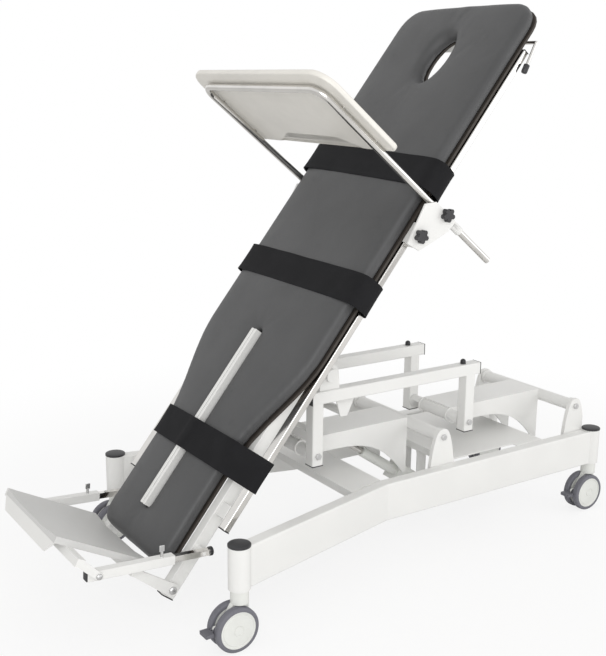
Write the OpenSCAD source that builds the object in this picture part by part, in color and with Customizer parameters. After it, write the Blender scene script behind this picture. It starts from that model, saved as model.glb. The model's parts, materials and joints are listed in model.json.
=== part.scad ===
// Physiotherapy tilt table: a lifting base on four twin casters, a parallelogram lift,
// a tilting table top with straps, a tray and an adjustable footplate.
// +X runs to the head end, the near side is -Y, the floor is z = 0.

/* [Base frame] */
// Distance from mid-base to each corner post, along the length
post_x = 743; // [640:1:860]
// Side distance of the foot-end posts
foot_post_y = 390; // [350:1:440]
// Side distance of the head-end posts
head_post_y = 246; // [236:1:280]
// Radius of a corner post
post_r = 30; // [26:1:36]
// Wall of posts and rails
base_wall = 3; // [2:0.5:5]
// Underside of the posts above the floor
post_z = 165; // [150:1:180]
// Height of a post
post_h = 119; // [110:1:140]
// Height of a black post cap
post_cap_h = 9; // [5:1:15]
// Thickness of a side rail
rail_t = 40; // [30:1:50]
// Height of a side rail
rail_h = 117; // [90:1:119]
// Where the side rails bend, along the length
bend_x = -163; // [-220:1:-100]
// Foot edge of the flat cross beam
beam_x = -288; // [-320:1:-260]
// Width of the flat cross beam
beam_w = 128; // [90:1:140]
// Depth of the folded edges of beam and deck
skirt_h = 24; // [12:1:40]
// Sheet thickness of beam and deck
sheet_t = 4; // [3:0.5:6]
// Foot edge of the head deck
deck_x = 137; // [136:1:150]
// Length of the head deck
deck_l = 388; // [340:1:410]
// Length of the slot beside the head deck
deck_slot_l = 272; // [200:1:300]
// Width of the slot beside the head deck
deck_slot_w = 19; // [10:1:24]

/* [Lift] */
// Height of the arm pivots above the floor
arm_pivot_z = 371; // [365:1:385]
// First arm pivot on the base, along the length
ear_x = 85; // [75:1:95]
// Distance between the two parallel arms
arm_pitch = 594; // [585:1:610]
// Length of an arm between its pivots
arm_l = 426; // [415:1:440]
// Half width of an ear plate at its foot
ear_half_w = 48; // [40:1:52]
// Thickness of an ear plate
ear_t = 14; // [10:1:16]
// Height of an ear above its pivot
ear_top = 26; // [22:1:32]
// Half width of a lift arm
arm_half_w = 70; // [60:1:76]
// Height of an arm's top plate above its pivots
arm_top = 24; // [22:1:26]
// Depth of an arm's side plates at the carriage end
arm_end_h = 52; // [46:1:56]
// How far an arm's horn reaches below its pivot
horn_drop = 161; // [140:1:164]
// Sheet thickness of a lift arm
arm_t = 5; // [4:0.5:7]
// Radius of the torque tubes
torque_r = 20; // [18:1:21]
// Radius of the pivot bolts
bolt_r = 8; // [6:0.5:9]

/* [Carriage] */
// Side distance of the carriage's outer faces
carriage_y = 158; // [150:1:170]
// Section of the carriage tubes
carriage_t = 38; // [34:1:40]
// Top of the carriage rails above the floor
carriage_top_z = 566; // [555:1:575]
// Underside of the carriage legs above the floor
leg_z = 341; // [336:1:345]
// How far the rails reach past the head-end legs
rail_over = 20; // [10:1:40]
// Wall of square and round tubes
tube_wall = 3; // [2:0.5:4]

/* [Table top] */
// Tilt of the table top as shown, from flat
tilt_now = 51.2; // [45:0.1:52]
// Tilt pivot ahead of the carriage's foot-end legs
tilt_in = 45; // [42:1:50]
// Tilt pivot above the top of the carriage rails
tilt_rise = 45; // [43:1:50]
// Tilt pivot's distance from the foot end of the mattress
pivot_s = 705; // [695:1:715]
// Tilt pivot's distance below the mattress surface
pivot_n = 192; // [188:1:198]
// Length of the mattress
mattress_l = 1920; // [1900:1:1960]
// Half width of the mattress at the body
body_half_w = 293; // [288:1:296]
// Half width of the mattress at the legs
leg_half_w = 192; // [185:1:197]
// Thickness of the mattress
mattress_h = 42; // [38:1:46]
// Height of the mattress crown
crown = 5; // [2:0.5:8]
// Thickness of the board under the mattress
board_t = 8; // [6:0.5:10]
// Foot end of the slot between the legs
slot_s = 104; // [100:1:130]
// Length of the slot between the legs
slot_l = 606; // [560:1:620]
// Half width of the slot between the legs
slot_half_w = 15; // [14.5:0.5:20]
// Height of the leg divider above the mattress edge
divider_h = 20; // [12:1:30]
// Centre of the face opening from the head end
face_back = 200; // [190:1:215]
// Half length of the face opening
face_half_l = 105; // [95:1:112]
// Half width of the face opening
face_half_w = 62; // [55:1:68]
// How far the frame's side tubes sit in from the mattress edge
tube_inset = 73; // [69:1:80]
// Width of a side tube
side_tube_w = 30; // [26:1:34]
// Depth of a side tube
side_tube_h = 40; // [36:1:42]

/* [Accessories] */
// Width of an accessory rail
acc_w = 30; // [25:1:32]
// Depth of an accessory rail
acc_h = 20; // [18:1:22]
// Foot end of the accessory rails
acc_s = 178; // [170:1:190]
// Head end of the accessory rails from the head end of the mattress
acc_end = 140; // [135:1:160]
// Width of a strap
strap_w = 94; // [70:1:98]
// Thickness of a strap
strap_t = 4; // [3:0.5:5]
// Height of the tray plane along the table
tray_s = 1250; // [1245:1:1262]
// How far the tray reaches past the mattress edge
tray_past = 60; // [45:1:75]
// Outer edge of the tray above the mattress
tray_out_n = 485; // [450:1:500]
// Patient edge of the tray above the mattress
tray_in_n = 168; // [150:1:180]
// Depth of the tray's cut-out
tray_cut = 42; // [30:1:50]
// Thickness of the tray board
tray_t = 10; // [8:1:14]
// Height of the tray's rim
tray_rim_h = 6; // [4:1:12]
// Radius of the tray's chrome tube
tray_tube_r = 10; // [8:0.5:10.5]
// Lower end of the tray arms below the mattress
arm_end_n = 341; // [320:1:360]

/* [Footplate] */
// Slope of the footplate from level, as shown
foot_slope = 28; // [24:1:32]
// Length of the footplate
foot_l = 285; // [260:1:300]
// How far the footplate's edges sit in from the side tubes
foot_inset = 35; // [30:1:50]
// Thickness of the footplate
foot_t = 10; // [8:1:12]
// Height of the footplate's side lips
foot_lip_h = 8; // [5:1:14]
// Section of a stay's sleeve
sleeve_t = 25; // [24:1:28]
// Length of a stay's sleeve
sleeve_l = 242; // [230:1:260]
// Section of a stay's inner tube
stay_t = 17; // [15:1:17]

/* [Casters] */
// Radius of a wheel
wheel_r = 62.5; // [55:0.5:63]
// Width of one wheel
wheel_w = 22; // [18:1:24]
// Gap between twin wheels
wheel_gap = 18; // [16:1:22]
// Depth of a tyre on its hub
tyre_h = 11; // [8:1:14]
// How far a wheel trails its post
trail = 20; // [15:1:26]
// Radius of a caster's neck
neck_r = 24.5; // [20:0.5:26]

/* [Hidden] */
$fn = 48;

// Fits
run_fit = 0.05;
weld_fit = 0.05;
soft_fit = 0.4;
slide_fit = 0.3;
over = 1;

// Colours
white_paint = "#f2f2f0";
hub_white = "#e4e6e2";
black_plastic = "#1e1e20";
rubber_grey = "#74747c";
vinyl = "#5b5c5e";
webbing = "#1c1c1d";
chrome_tone = "#b9b6b0";
steel_tone = "#8f9092";
tray_cream = "#ece7de";
plate_grey = "#cdcdcb";
board_tone = "#3a3633";

// Base geometry
post_top_z = post_z + post_h;
rail_top_z = post_z + rail_h;
head_face_y = head_post_y - rail_t / 2;
plug_h = 20;
stem_r = 12;
stem_h = 34;
cap_over = 1;

function unit2(v) = v / norm(v);
function left_of(v) = [-v[1], v[0]];
rail_a = [-post_x, foot_post_y];
rail_b = [bend_x, head_post_y];
rail_c = [post_x, head_post_y];
normal_ab = left_of(unit2(rail_b - rail_a));
normal_bc = left_of(unit2(rail_c - rail_b));
mitre_b = (normal_ab + normal_bc) / (1 + normal_ab * normal_bc);
function rail_outline(h) = [
    rail_a + normal_ab * h, rail_b + mitre_b * h, rail_c + normal_bc * h,
    rail_c - normal_bc * h, rail_b - mitre_b * h, rail_a - normal_ab * h
];
inner_corner = rail_b - mitre_b * rail_t / 2;
inner_slope = (foot_post_y - head_post_y) / (post_x + bend_x);
function inner_y(x) = x > inner_corner[0] ? head_face_y
    : inner_corner[1] + (inner_corner[0] - x) * inner_slope;

module post_places() {
    for (side = [-1, 1]) {
        translate([-post_x, side * foot_post_y, 0]) children();
        translate([post_x, side * head_post_y, 0]) children();
    }
}

module base_rail(side) {
    color(white_paint) mirror([0, side < 0 ? 1 : 0, 0]) difference() {
        translate([0, 0, post_z]) linear_extrude(rail_h) polygon(rail_outline(rail_t / 2));
        translate([0, 0, post_z + base_wall]) linear_extrude(rail_h - 2 * base_wall)
            polygon(rail_outline(rail_t / 2 - base_wall));
        for (place = [rail_a, rail_c]) translate([place[0], place[1], post_z - over])
            cylinder(r = post_r + weld_fit, h = post_h + 2 * over);
    }
}

module base_posts() {
    color(white_paint) post_places() translate([0, 0, post_z]) difference() {
        cylinder(r = post_r, h = post_h);
        translate([0, 0, plug_h]) cylinder(r = post_r - base_wall, h = post_h);
        translate([0, 0, -over]) cylinder(r = stem_r, h = plug_h + 2 * over);
    }
}

module post_caps() {
    cap_r = post_r + cap_over;
    rise = post_cap_h / 2;
    color(black_plastic) post_places() translate([0, 0, post_top_z]) rotate_extrude()
        polygon([
            [0, 0], [cap_r, 0], [cap_r, rise],
            for (k = [1:6]) [cap_r * cos(15 * k), rise + rise * sin(15 * k)]
        ]);
}

module base_crossbeam() {
    x1 = beam_x + beam_w;
    color(white_paint) difference() {
        translate([0, 0, rail_top_z - skirt_h]) linear_extrude(skirt_h) polygon([
            [beam_x, -inner_y(beam_x)], [inner_corner[0], -inner_corner[1]],
            [x1, -inner_y(x1)], [x1, inner_y(x1)], inner_corner, [beam_x, inner_y(beam_x)]
        ]);
        translate([beam_x + sheet_t, -foot_post_y, rail_top_z - skirt_h - over])
            cube([beam_w - 2 * sheet_t, 2 * foot_post_y, skirt_h + over - sheet_t]);
    }
}

// Lift geometry: the base pin and the arm pin of the lift motor lie at the same distance
// from the arm's pivot, so the motor always turns through half the arm's angle
lift_pin_x = 160;
lift_pin_z = 133;
lift_pin = [lift_pin_x, lift_pin_z];
ear_pivot = [ear_x, arm_pivot_z];
lift_reach = norm(lift_pin - ear_pivot);
horn_angle = -176;
horn_pin = ear_pivot + lift_reach * [cos(horn_angle), sin(horn_angle)];
motor_pin_r = 6;
motor_eye_r = 14;
motor_eye_w = 24;
lug_gap = 12;
lug_t = 5;
motor_box_w = 60;
motor_box_l = 75;
motor_tube_r = 17;
motor_bore_r = 11;
rod_r = 10;
lift_tube_l = 270;
lift_rod_l = 225;

module base_deck() {
    half = head_face_y;
    slot_y = half - deck_slot_w;
    deck_top = rail_top_z;
    x1 = deck_x + deck_l;
    x_slot = deck_x + deck_slot_l;
    bracket_y = motor_box_w / 2 + lug_t;
    bracket_half = motor_eye_r + lug_t;
    color(white_paint) {
        difference() {
            translate([0, 0, deck_top - skirt_h]) linear_extrude(skirt_h) polygon([
                [deck_x, -slot_y], [x_slot, -slot_y], [x_slot, -half], [x1, -half],
                [x1, half], [x_slot, half], [x_slot, slot_y], [deck_x, slot_y]
            ]);
            translate([deck_x + sheet_t, -half - over, deck_top - skirt_h - over])
                cube([deck_l - 2 * sheet_t, 2 * half + 2 * over, skirt_h + over - sheet_t]);
        }
        for (side = [-1, 1]) difference() {
            translate([lift_pin_x - bracket_half, side > 0 ? bracket_y : -bracket_y - lug_t,
                lift_pin_z - bracket_half])
                cube([2 * bracket_half, lug_t, deck_top - sheet_t - lift_pin_z + bracket_half]);
            translate([lift_pin_x, 0, lift_pin_z]) rotate([90, 0, 0])
                cylinder(r = motor_pin_r - over, h = 2 * head_post_y, center = true);
        }
        translate([lift_pin_x, 0, lift_pin_z]) rotate([90, 0, 0])
            cylinder(r = motor_pin_r, h = 2 * bracket_y + 2 * lug_t, center = true);
    }
}

// Control box under the deck, with its mains inlet
box_x = 300;
box_l = 150;
box_half_w = 70;
box_h = 62;
inlet_w = 28;
inlet_h = 20;
inlet_depth = 15;
pin_w = 4;

module control_box() {
    top = rail_top_z - sheet_t;
    color(black_plastic) difference() {
        translate([box_x, -box_half_w, top - box_h]) cube([box_l, 2 * box_half_w, box_h]);
        translate([box_x + box_l - inlet_depth, -inlet_w / 2, top - (box_h + inlet_h) / 2])
            cube([inlet_depth + over, inlet_w, inlet_h]);
    }
    color(steel_tone) for (k = [-1, 0, 1])
        translate([box_x + box_l - inlet_depth - over, k * inlet_w / 4 - pin_w / 2,
            top - box_h / 2 - pin_w / 2]) cube([inlet_depth, pin_w / 2, pin_w]);
}

// Ears: parabolic plates that carry the arms
ear_foot_z = post_z + rail_h / 2;
ear_in_y = head_face_y - ear_t;
bolt_head_h = 7;
bolt_head_r = 1.25 * bolt_r;
tube_gap = 2;
arm_bolt_l = 35;

module ear_outline() {
    rise = arm_pivot_z + ear_top - rail_top_z;
    polygon([
        [-ear_half_w, -(rail_top_z - ear_foot_z)], [ear_half_w, -(rail_top_z - ear_foot_z)],
        for (k = [0:12]) let (t = 1 - k / 6)
            [ear_half_w * sign(t) * pow(abs(t), 0.72), rise * (1 - pow(abs(t), 2.2))]
    ]);
}

module ear_places() {
    for (k = [0, 1]) for (side = [-1, 1])
        translate([ear_x + k * arm_pitch, 0, 0]) mirror([0, side < 0 ? 1 : 0, 0]) children();
}

module pivot_ears() {
    color(white_paint) difference() {
        ear_places() difference() {
            translate([0, head_face_y - weld_fit, rail_top_z]) rotate([90, 0, 0])
                linear_extrude(ear_t) ear_outline();
            translate([0, head_face_y, arm_pivot_z]) rotate([90, 0, 0])
                cylinder(r = bolt_r, h = 3 * ear_t, center = true);
        }
        post_places() cylinder(r = post_r + cap_over + slide_fit, h = arm_pivot_z);
    }
}

module ear_bolts() {
    color(steel_tone) ear_places() translate([0, head_face_y, arm_pivot_z]) rotate([90, 0, 0]) {
        cylinder(r = bolt_r, h = ear_t + tube_gap + arm_bolt_l);
        translate([0, 0, -bolt_head_h]) cylinder(r = bolt_head_r, h = bolt_head_h, $fn = 6);
    }
}

// Lift arms: a folded sheet box with an arched underside
torque_end_y = ear_in_y - tube_gap;
sleeve_end_y = carriage_y - carriage_t - tube_gap;
collar_t = 4;
collar_r = torque_r + collar_t;
collar_w = 10;
arch_x_share = 0.23;
arch_power_share = 3.2;
web_gap = 18;
horn_half_share = 0.03;
end_plate_h = 70;

module arm_outline() {
    left = -arm_l;
    right = -web_gap;
    arch_from = left + arch_x_share * (arm_l - web_gap);
    low = arm_top - arm_end_h;
    horn_w = horn_half_share * arm_l;
    polygon([
        [left, low],
        for (k = [0:12]) let (t = k / 12)
            [arch_from + (right - horn_w - arch_from) * t,
                low - (horn_drop + low) * pow(t, arch_power_share)],
        [right, -horn_drop], [right, arm_top], [left, arm_top]
    ]);
    translate([left, 0]) circle(r = arm_top);
}

module bored_tube(r, half_l, bore_r, bore_l) {
    rotate([90, 0, 0]) difference() {
        cylinder(r = r, h = 2 * half_l, center = true);
        cylinder(r = r - tube_wall, h = 2 * (half_l - bore_l - over), center = true);
        for (side = [-1, 1]) translate([0, 0, side * (half_l - bore_l / 2)])
            cylinder(r = bore_r + run_fit, h = bore_l + 2 * over, center = true);
    }
}

module lift_arm(with_pin) {
    left = -arm_l;
    color(white_paint) {
        for (side = [-1, 1]) difference() {
            translate([0, side > 0 ? arm_half_w : -arm_half_w + arm_t, 0]) rotate([90, 0, 0])
                linear_extrude(arm_t) arm_outline();
            translate([left, 0, 0]) rotate([90, 0, 0])
                cylinder(r = torque_r - tube_wall / 2, h = 3 * arm_half_w, center = true);
        }
        translate([left, -arm_half_w, arm_top - arm_t])
            cube([arm_l - web_gap, 2 * arm_half_w, arm_t]);
        translate([-web_gap - arm_t, -arm_half_w, arm_top - end_plate_h])
            cube([arm_t, 2 * arm_half_w, end_plate_h]);
        bored_tube(torque_r, torque_end_y, bolt_r, arm_bolt_l);
        for (side = [-1, 1]) translate([0, side * (torque_end_y - collar_w / 2), 0])
            rotate([90, 0, 0]) difference() {
                cylinder(r = collar_r, h = collar_w, center = true);
                cylinder(r = torque_r - over, h = collar_w + over, center = true);
            }
        translate([left, 0, 0]) bored_tube(torque_r, sleeve_end_y, bolt_r, arm_bolt_l);
        if (with_pin) translate([horn_pin[0] - ear_x, 0, horn_pin[1] - arm_pivot_z])
            rotate([90, 0, 0])
            cylinder(r = motor_pin_r, h = 2 * arm_half_w - arm_t, center = true);
    }
}

module lift_arm_foot() { translate([ear_x, 0, arm_pivot_z]) lift_arm(true); }
module lift_arm_head() { translate([ear_x + arm_pitch, 0, arm_pivot_z]) lift_arm(false); }

// An actuator lies along +X from its tail pin; the rod comes from its own eye back along it
module actuator_body(tail_r, tube_l, bore_from) {
    difference() {
        union() {
            rotate([90, 0, 0])
                cylinder(r = tail_r + motor_eye_r / 2 + over, h = motor_eye_w, center = true);
            rotate([0, 90, 0]) cylinder(r = motor_tube_r, h = tube_l);
        }
        rotate([90, 0, 0]) cylinder(r = tail_r + run_fit, h = 2 * motor_eye_w, center = true);
        translate([bore_from, 0, 0]) rotate([0, 90, 0]) cylinder(r = motor_bore_r, h = tube_l);
    }
}

module actuator_rod(rod_l) {
    color(chrome_tone) difference() {
        union() {
            rotate([90, 0, 0]) cylinder(r = motor_eye_r, h = motor_eye_w, center = true);
            rotate([0, 90, 0]) cylinder(r = rod_r, h = rod_l);
        }
        rotate([90, 0, 0]) cylinder(r = motor_pin_r + run_fit, h = 2 * motor_eye_w, center = true);
    }
}

function angle_to(a, b) = atan2(b[1] - a[1], b[0] - a[0]);
lift_angle = angle_to(lift_pin, horn_pin);
lift_box_from = 34;
lift_bore_from = 140;

module lift_motor() {
    translate([lift_pin[0], 0, lift_pin[1]]) rotate([0, -lift_angle, 0]) {
        color(hub_white) actuator_body(motor_pin_r, lift_tube_l, lift_bore_from);
        color(black_plastic) difference() {
            translate([lift_box_from, -motor_box_w / 2, -motor_box_w / 2])
                cube([motor_box_l, motor_box_w, motor_box_w]);
            rotate([0, 90, 0]) cylinder(r = motor_tube_r - over, h = lift_tube_l);
        }
    }
}

module lift_rod() {
    translate([horn_pin[0], 0, horn_pin[1]]) rotate([0, 180 - lift_angle, 0])
        actuator_rod(lift_rod_l);
}

// Carriage: two side frames joined by cross pieces
carriage_in_y = carriage_y - carriage_t;
rail_z = carriage_top_z - carriage_t;
leg_foot_x = ear_x - arm_l;
leg_head_x = leg_foot_x + arm_pitch;
rail_x0 = leg_foot_x - carriage_t / 2;
rail_x1 = leg_head_x + carriage_t / 2 + rail_over;
cap_t = 3;

module carriage_frame(side) {
    color(white_paint) mirror([0, side < 0 ? 1 : 0, 0]) difference() {
        union() {
            translate([rail_x0, carriage_in_y, rail_z])
                cube([rail_x1 - rail_x0, carriage_t, carriage_t]);
            for (x = [leg_foot_x, leg_head_x])
                translate([x - carriage_t / 2, carriage_in_y, leg_z])
                cube([carriage_t, carriage_t, rail_z - leg_z]);
        }
        translate([rail_x0 - over, carriage_in_y + tube_wall, rail_z + tube_wall])
            cube([rail_x1 - rail_x0 + 2 * over, carriage_t - 2 * tube_wall,
                carriage_t - 2 * tube_wall]);
        for (x = [leg_foot_x, leg_head_x]) {
            translate([x - carriage_t / 2 + tube_wall, carriage_in_y + tube_wall, leg_z - over])
                cube([carriage_t - 2 * tube_wall, carriage_t - 2 * tube_wall, rail_z - leg_z]);
            translate([x, carriage_y, arm_pivot_z]) rotate([90, 0, 0])
                cylinder(r = bolt_r + weld_fit, h = 3 * carriage_t, center = true);
        }
    }
}

// Tilt geometry: tail pin and table pin lie at one distance from the tilt pivot, so the
// tilt motor always turns through half the table's angle
tilt_x = leg_foot_x + tilt_in;
tilt_z = carriage_top_z + tilt_rise;
tilt_reach = 150;
tail_angle = -62;
tail_pin = [tilt_x, tilt_z] + tilt_reach * [cos(tail_angle), sin(tail_angle)];
crank_angle = 144;
crank_turn = crank_angle + tilt_now;
crank_pin = [tilt_x, tilt_z] + tilt_reach * [cos(crank_turn), sin(crank_turn)];
tail_tube_r = 12.5;
tilt_tube_l = 154;
tilt_rod_l = 145;
cross_t = 30;
cross_z = 410;
hanger_t = 5;

module carriage_crossbars() {
    plate_top = rail_z;
    color(white_paint) {
        translate([leg_foot_x - cross_t / 2, -carriage_in_y, cross_z])
            cube([cross_t, 2 * carriage_in_y, cross_t]);
        for (side = [-1, 1]) mirror([0, side < 0 ? 1 : 0, 0])
            translate([tail_pin[0], carriage_in_y + hanger_t, 0]) rotate([90, 0, 0])
            linear_extrude(hanger_t) polygon([
                [-cross_t, plate_top], [cross_t + tail_tube_r, plate_top],
                [tail_tube_r, tail_pin[1] - tail_tube_r], [-tail_tube_r, tail_pin[1] - tail_tube_r]
            ]);
        translate([tail_pin[0], 0, tail_pin[1]]) rotate([90, 0, 0])
            cylinder(r = tail_tube_r, h = 2 * carriage_in_y, center = true);
    }
}

bumper_r = 9;
bumper_h = 14;
bumper_back = 20;

module carriage_plugs() {
    color(black_plastic) for (side = [-1, 1]) mirror([0, side < 0 ? 1 : 0, 0]) {
        for (x = [leg_foot_x, leg_head_x])
            translate([x - carriage_t / 2, carriage_in_y, leg_z - cap_t])
            cube([carriage_t, carriage_t, cap_t]);
        for (x = [rail_x0 - cap_t, rail_x1])
            translate([x, carriage_in_y, rail_z]) cube([cap_t, carriage_t, carriage_t]);
        translate([leg_head_x - bumper_back, carriage_y - carriage_t / 2, carriage_top_z]) {
            cylinder(r = bumper_r, h = bumper_h / 2);
            translate([0, 0, bumper_h / 2]) scale(bumper_r) difference() {
                sphere(r = 1);
                translate([-2, -2, -4]) cube(4);
            }
        }
    }
}

module carriage_bolts() {
    color(steel_tone) for (side = [-1, 1]) mirror([0, side < 0 ? 1 : 0, 0])
        for (x = [leg_foot_x, leg_head_x])
        translate([x, carriage_y, arm_pivot_z]) rotate([90, 0, 0]) {
            cylinder(r = bolt_r, h = carriage_t + tube_gap + arm_bolt_l);
            translate([0, 0, -bolt_head_h]) cylinder(r = bolt_head_r, h = bolt_head_h, $fn = 6);
        }
}

tilt_tube_r = 20;
bearing_r = 32;
bearing_half = 35;
bearing_t = 20;

module tilt_bearings() {
    color(white_paint) for (side = [-1, 1])
        translate([tilt_x, side * (carriage_y - carriage_t / 2) + bearing_t / 2, 0])
        rotate([90, 0, 0]) linear_extrude(bearing_t) difference() {
            union() {
                translate([0, tilt_z]) circle(r = bearing_r);
                polygon([
                    [-bearing_half, carriage_top_z], [bearing_half, carriage_top_z],
                    [bearing_r, tilt_z], [-bearing_r, tilt_z]
                ]);
            }
            translate([0, tilt_z]) circle(r = tilt_tube_r + run_fit);
        }
}

tilt_motor_angle = angle_to(tail_pin, crank_pin);
side_motor_y = 44;
side_motor_r = 22;
side_motor_l = 100;
gear_t = 26;
gear_x = 24;
tilt_bore_from = 22.5;

module tilt_motor() {
    translate([tail_pin[0], 0, tail_pin[1]]) rotate([0, -tilt_motor_angle, 0]) {
        color(hub_white) actuator_body(tail_tube_r, tilt_tube_l, tilt_bore_from);
        color(black_plastic) {
            translate([gear_x, motor_bore_r + over, -side_motor_r])
                cube([gear_t, side_motor_y + side_motor_r - motor_bore_r - over, 2 * side_motor_r]);
            translate([gear_x, side_motor_y, 0]) rotate([0, 90, 0])
                cylinder(r = side_motor_r, h = side_motor_l);
        }
    }
}

module tilt_rod() {
    translate([crank_pin[0], 0, crank_pin[1]]) rotate([0, 180 - tilt_motor_angle, 0])
        actuator_rod(tilt_rod_l);
}

// Table frame: inside on_table x runs from foot to head along the mattress (s),
// z is the distance above the mattress edge (n)
module on_table() {
    translate([tilt_x, 0, tilt_z]) rotate([0, -tilt_now, 0]) translate([-pivot_s, 0, pivot_n])
        children();
}

deck_n = -mattress_h - board_t;
tube_foot_s = -52;
tube_clear = 70;
tube_head_s = mattress_l - tube_clear;
side_tube_y = body_half_w - tube_inset;
cross_h = 36;
cross_w = 30;
crank_rel = tilt_reach * [cos(crank_angle), sin(crank_angle)];
crank_s = pivot_s + crank_rel[0];
crank_n = -pivot_n + crank_rel[1];
cross_shares = [0.615, 0.8125];
cross_s = concat([50, crank_s, 645, 765], cross_shares * mattress_l, [tube_head_s - cross_w]);
heel_s = -29;
heel_drop = 14;
heel_n = deck_n - heel_drop;
stay_pin_s = 97;
stay_drop = 16;
stay_pin_n = deck_n - stay_drop;
pin_r = 5;
tube_in_y = side_tube_y - side_tube_w;

module side_tubes() {
    stud_end = stay_y + stay_t / 2 + 2 * over;
    spacer_end = stay_y - stay_t / 2 - over;
    color(white_paint) on_table() for (side = [-1, 1]) mirror([0, side < 0 ? 1 : 0, 0]) {
        translate([stay_pin_s, stud_end, stay_pin_n]) rotate([90, 0, 0])
            cylinder(r = pin_r, h = stud_end - tube_in_y);
        translate([stay_pin_s, spacer_end, stay_pin_n]) rotate([90, 0, 0])
            cylinder(r = 2 * pin_r, h = spacer_end - side_tube_y + over / 2);
        difference() {
            translate([tube_foot_s, tube_in_y, deck_n - side_tube_h])
                cube([tube_head_s - tube_foot_s, side_tube_w, side_tube_h]);
            translate([tube_foot_s + cap_t, tube_in_y + tube_wall, deck_n - side_tube_h + tube_wall])
                cube([tube_head_s - tube_foot_s - 2 * cap_t, side_tube_w - 2 * tube_wall,
                    side_tube_h - 2 * tube_wall]);
            translate([heel_s, side_tube_y, heel_n]) rotate([90, 0, 0])
                cylinder(r = pin_r, h = 3 * side_tube_w, center = true);
            if (side < 0) translate([lever_s, side_tube_y, lever_n]) rotate([90, 0, 0])
                cylinder(r = lever_r + run_fit, h = side_tube_w, center = true);
        }
    }
}

module table_crossbars() {
    color(white_paint) on_table() {
        for (s = cross_s) translate([s - cross_w / 2, -tube_in_y, deck_n - cross_h])
            cube([cross_w, 2 * tube_in_y, cross_h]);
        for (side = [-1, 1]) mirror([0, side < 0 ? 1 : 0, 0])
            translate([crank_s, lug_gap + over + lug_t, 0]) rotate([90, 0, 0]) linear_extrude(lug_t)
            difference() {
                union() {
                    translate([-cross_w / 2, crank_n])
                        square([cross_w, deck_n - cross_h - crank_n + over]);
                    translate([0, crank_n]) circle(r = cross_w / 2);
                }
                translate([0, crank_n]) circle(r = motor_pin_r - over);
            }
        translate([crank_s, 0, crank_n]) rotate([90, 0, 0])
            cylinder(r = motor_pin_r, h = 2 * (lug_gap + over + lug_t), center = true);
    }
}

tilt_tube_half = 165;
tilt_tube_in = 72;
hang_y = 95;
hang_half = 75;

module pivot_tube() {
    stub_l = tilt_tube_half - tilt_tube_in;
    color(white_paint) on_table() for (side = [-1, 1]) mirror([0, side < 0 ? 1 : 0, 0]) {
        translate([pivot_s, tilt_tube_half, -pivot_n]) rotate([90, 0, 0]) difference() {
            cylinder(r = tilt_tube_r, h = stub_l);
            translate([0, 0, tube_wall]) cylinder(r = tilt_tube_r - tube_wall, h = stub_l);
        }
        translate([pivot_s, hang_y + hanger_t / 2, 0])
            rotate([90, 0, 0]) linear_extrude(hanger_t) difference() {
                union() {
                    polygon([
                        [-hang_half, deck_n - cross_h], [hang_half, deck_n - cross_h],
                        [bearing_r, -pivot_n], [-bearing_r, -pivot_n]
                    ]);
                    translate([0, -pivot_n]) circle(r = bearing_r);
                }
                translate([0, -pivot_n]) circle(r = tilt_tube_r - over);
            }
    }
}

// Mattress outline
foot_corner_r = 50;
head_corner_r = 80;
waist_from = 340;
waist_to = 700;
edge_r = 14;
draw_in = 4;

function smooth(t) = let (u = min(1, max(0, t))) u * u * (3 - 2 * u);
function corner_in(d, r) = d >= r ? 0 : r - sqrt(max(0, r * r - (r - d) * (r - d)));
function half_width(s) = leg_half_w
    + (body_half_w - leg_half_w) * smooth((s - waist_from) / (waist_to - waist_from))
    - corner_in(s, foot_corner_r) - corner_in(mattress_l - s, head_corner_r);
function end_drop(s) = corner_in(min(s, mattress_l - s), edge_r);
foot_stations = [for (k = [0:5]) foot_corner_r * (1 - cos(15 * k))];
waist_stations = [for (k = [0:9]) waist_from + (waist_to - waist_from) * k / 9];
body_stations = [for (k = [1:5]) waist_to + (mattress_l - head_corner_r - waist_to) * k / 6];
head_stations = [for (k = [0:6]) mattress_l - head_corner_r * (1 - sin(15 * k))];
leg_stations = [foot_corner_r, (foot_corner_r + waist_from) / 2];
stations = concat(foot_stations, leg_stations, waist_stations, body_stations, head_stations);

// One closed section: flat underside, drawn-in sides, rolled edges and a crown
function mattress_section(w, drop) = let (
        side = [
            [w - draw_in, -mattress_h], [w - draw_in / 3, -0.7 * mattress_h],
            [w, -0.42 * mattress_h], [w - edge_r * 0.12, -edge_r * 0.62 - drop],
            [w - edge_r * 0.45, -edge_r * 0.2 - drop], [w - edge_r * 1.3, -drop],
            [w * 0.7, crown * 0.6 - drop], [w * 0.35, crown * 0.93 - drop]
        ])
    concat(side, [[0, crown - drop]], [for (k = [len(side) - 1:-1:0]) [-side[k][0], side[k][1]]]);

module loft(rings) {
    n = len(rings[0]);
    m = len(rings);
    points = [for (ring = rings) each ring];
    faces = concat(
        [for (j = [0:m - 2]) for (k = [0:n - 1]) let (a = j * n + k, b = j * n + (k + 1) % n)
            each [[a, b + n, b], [a, a + n, b + n]]],
        [[for (k = [0:n - 1]) k]],
        [[for (k = [n - 1:-1:0]) (m - 1) * n + k]]);
    polyhedron(points, faces);
}

module slot_shape(grow) {
    half = slot_half_w + grow;
    s0 = slot_s + slot_half_w;
    s1 = slot_s + slot_l - slot_half_w;
    polygon(concat(
        [for (k = [0:12]) [s0 - half * sin(15 * k), half * cos(15 * k)]],
        [for (k = [0:12]) [s1 + half * sin(15 * k), -half * cos(15 * k)]]));
}

// The face opening widens from a straight hole to a soft bowl at the surface
face_s = mattress_l - face_back;
face_inner = 0.8;
face_depth = 20;

module face_shape(share) {
    polygon([for (k = [0:31]) let (a = 360 * k / 32)
        share * [face_half_l * cos(a), face_half_w * sin(a)]]);
}

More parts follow.
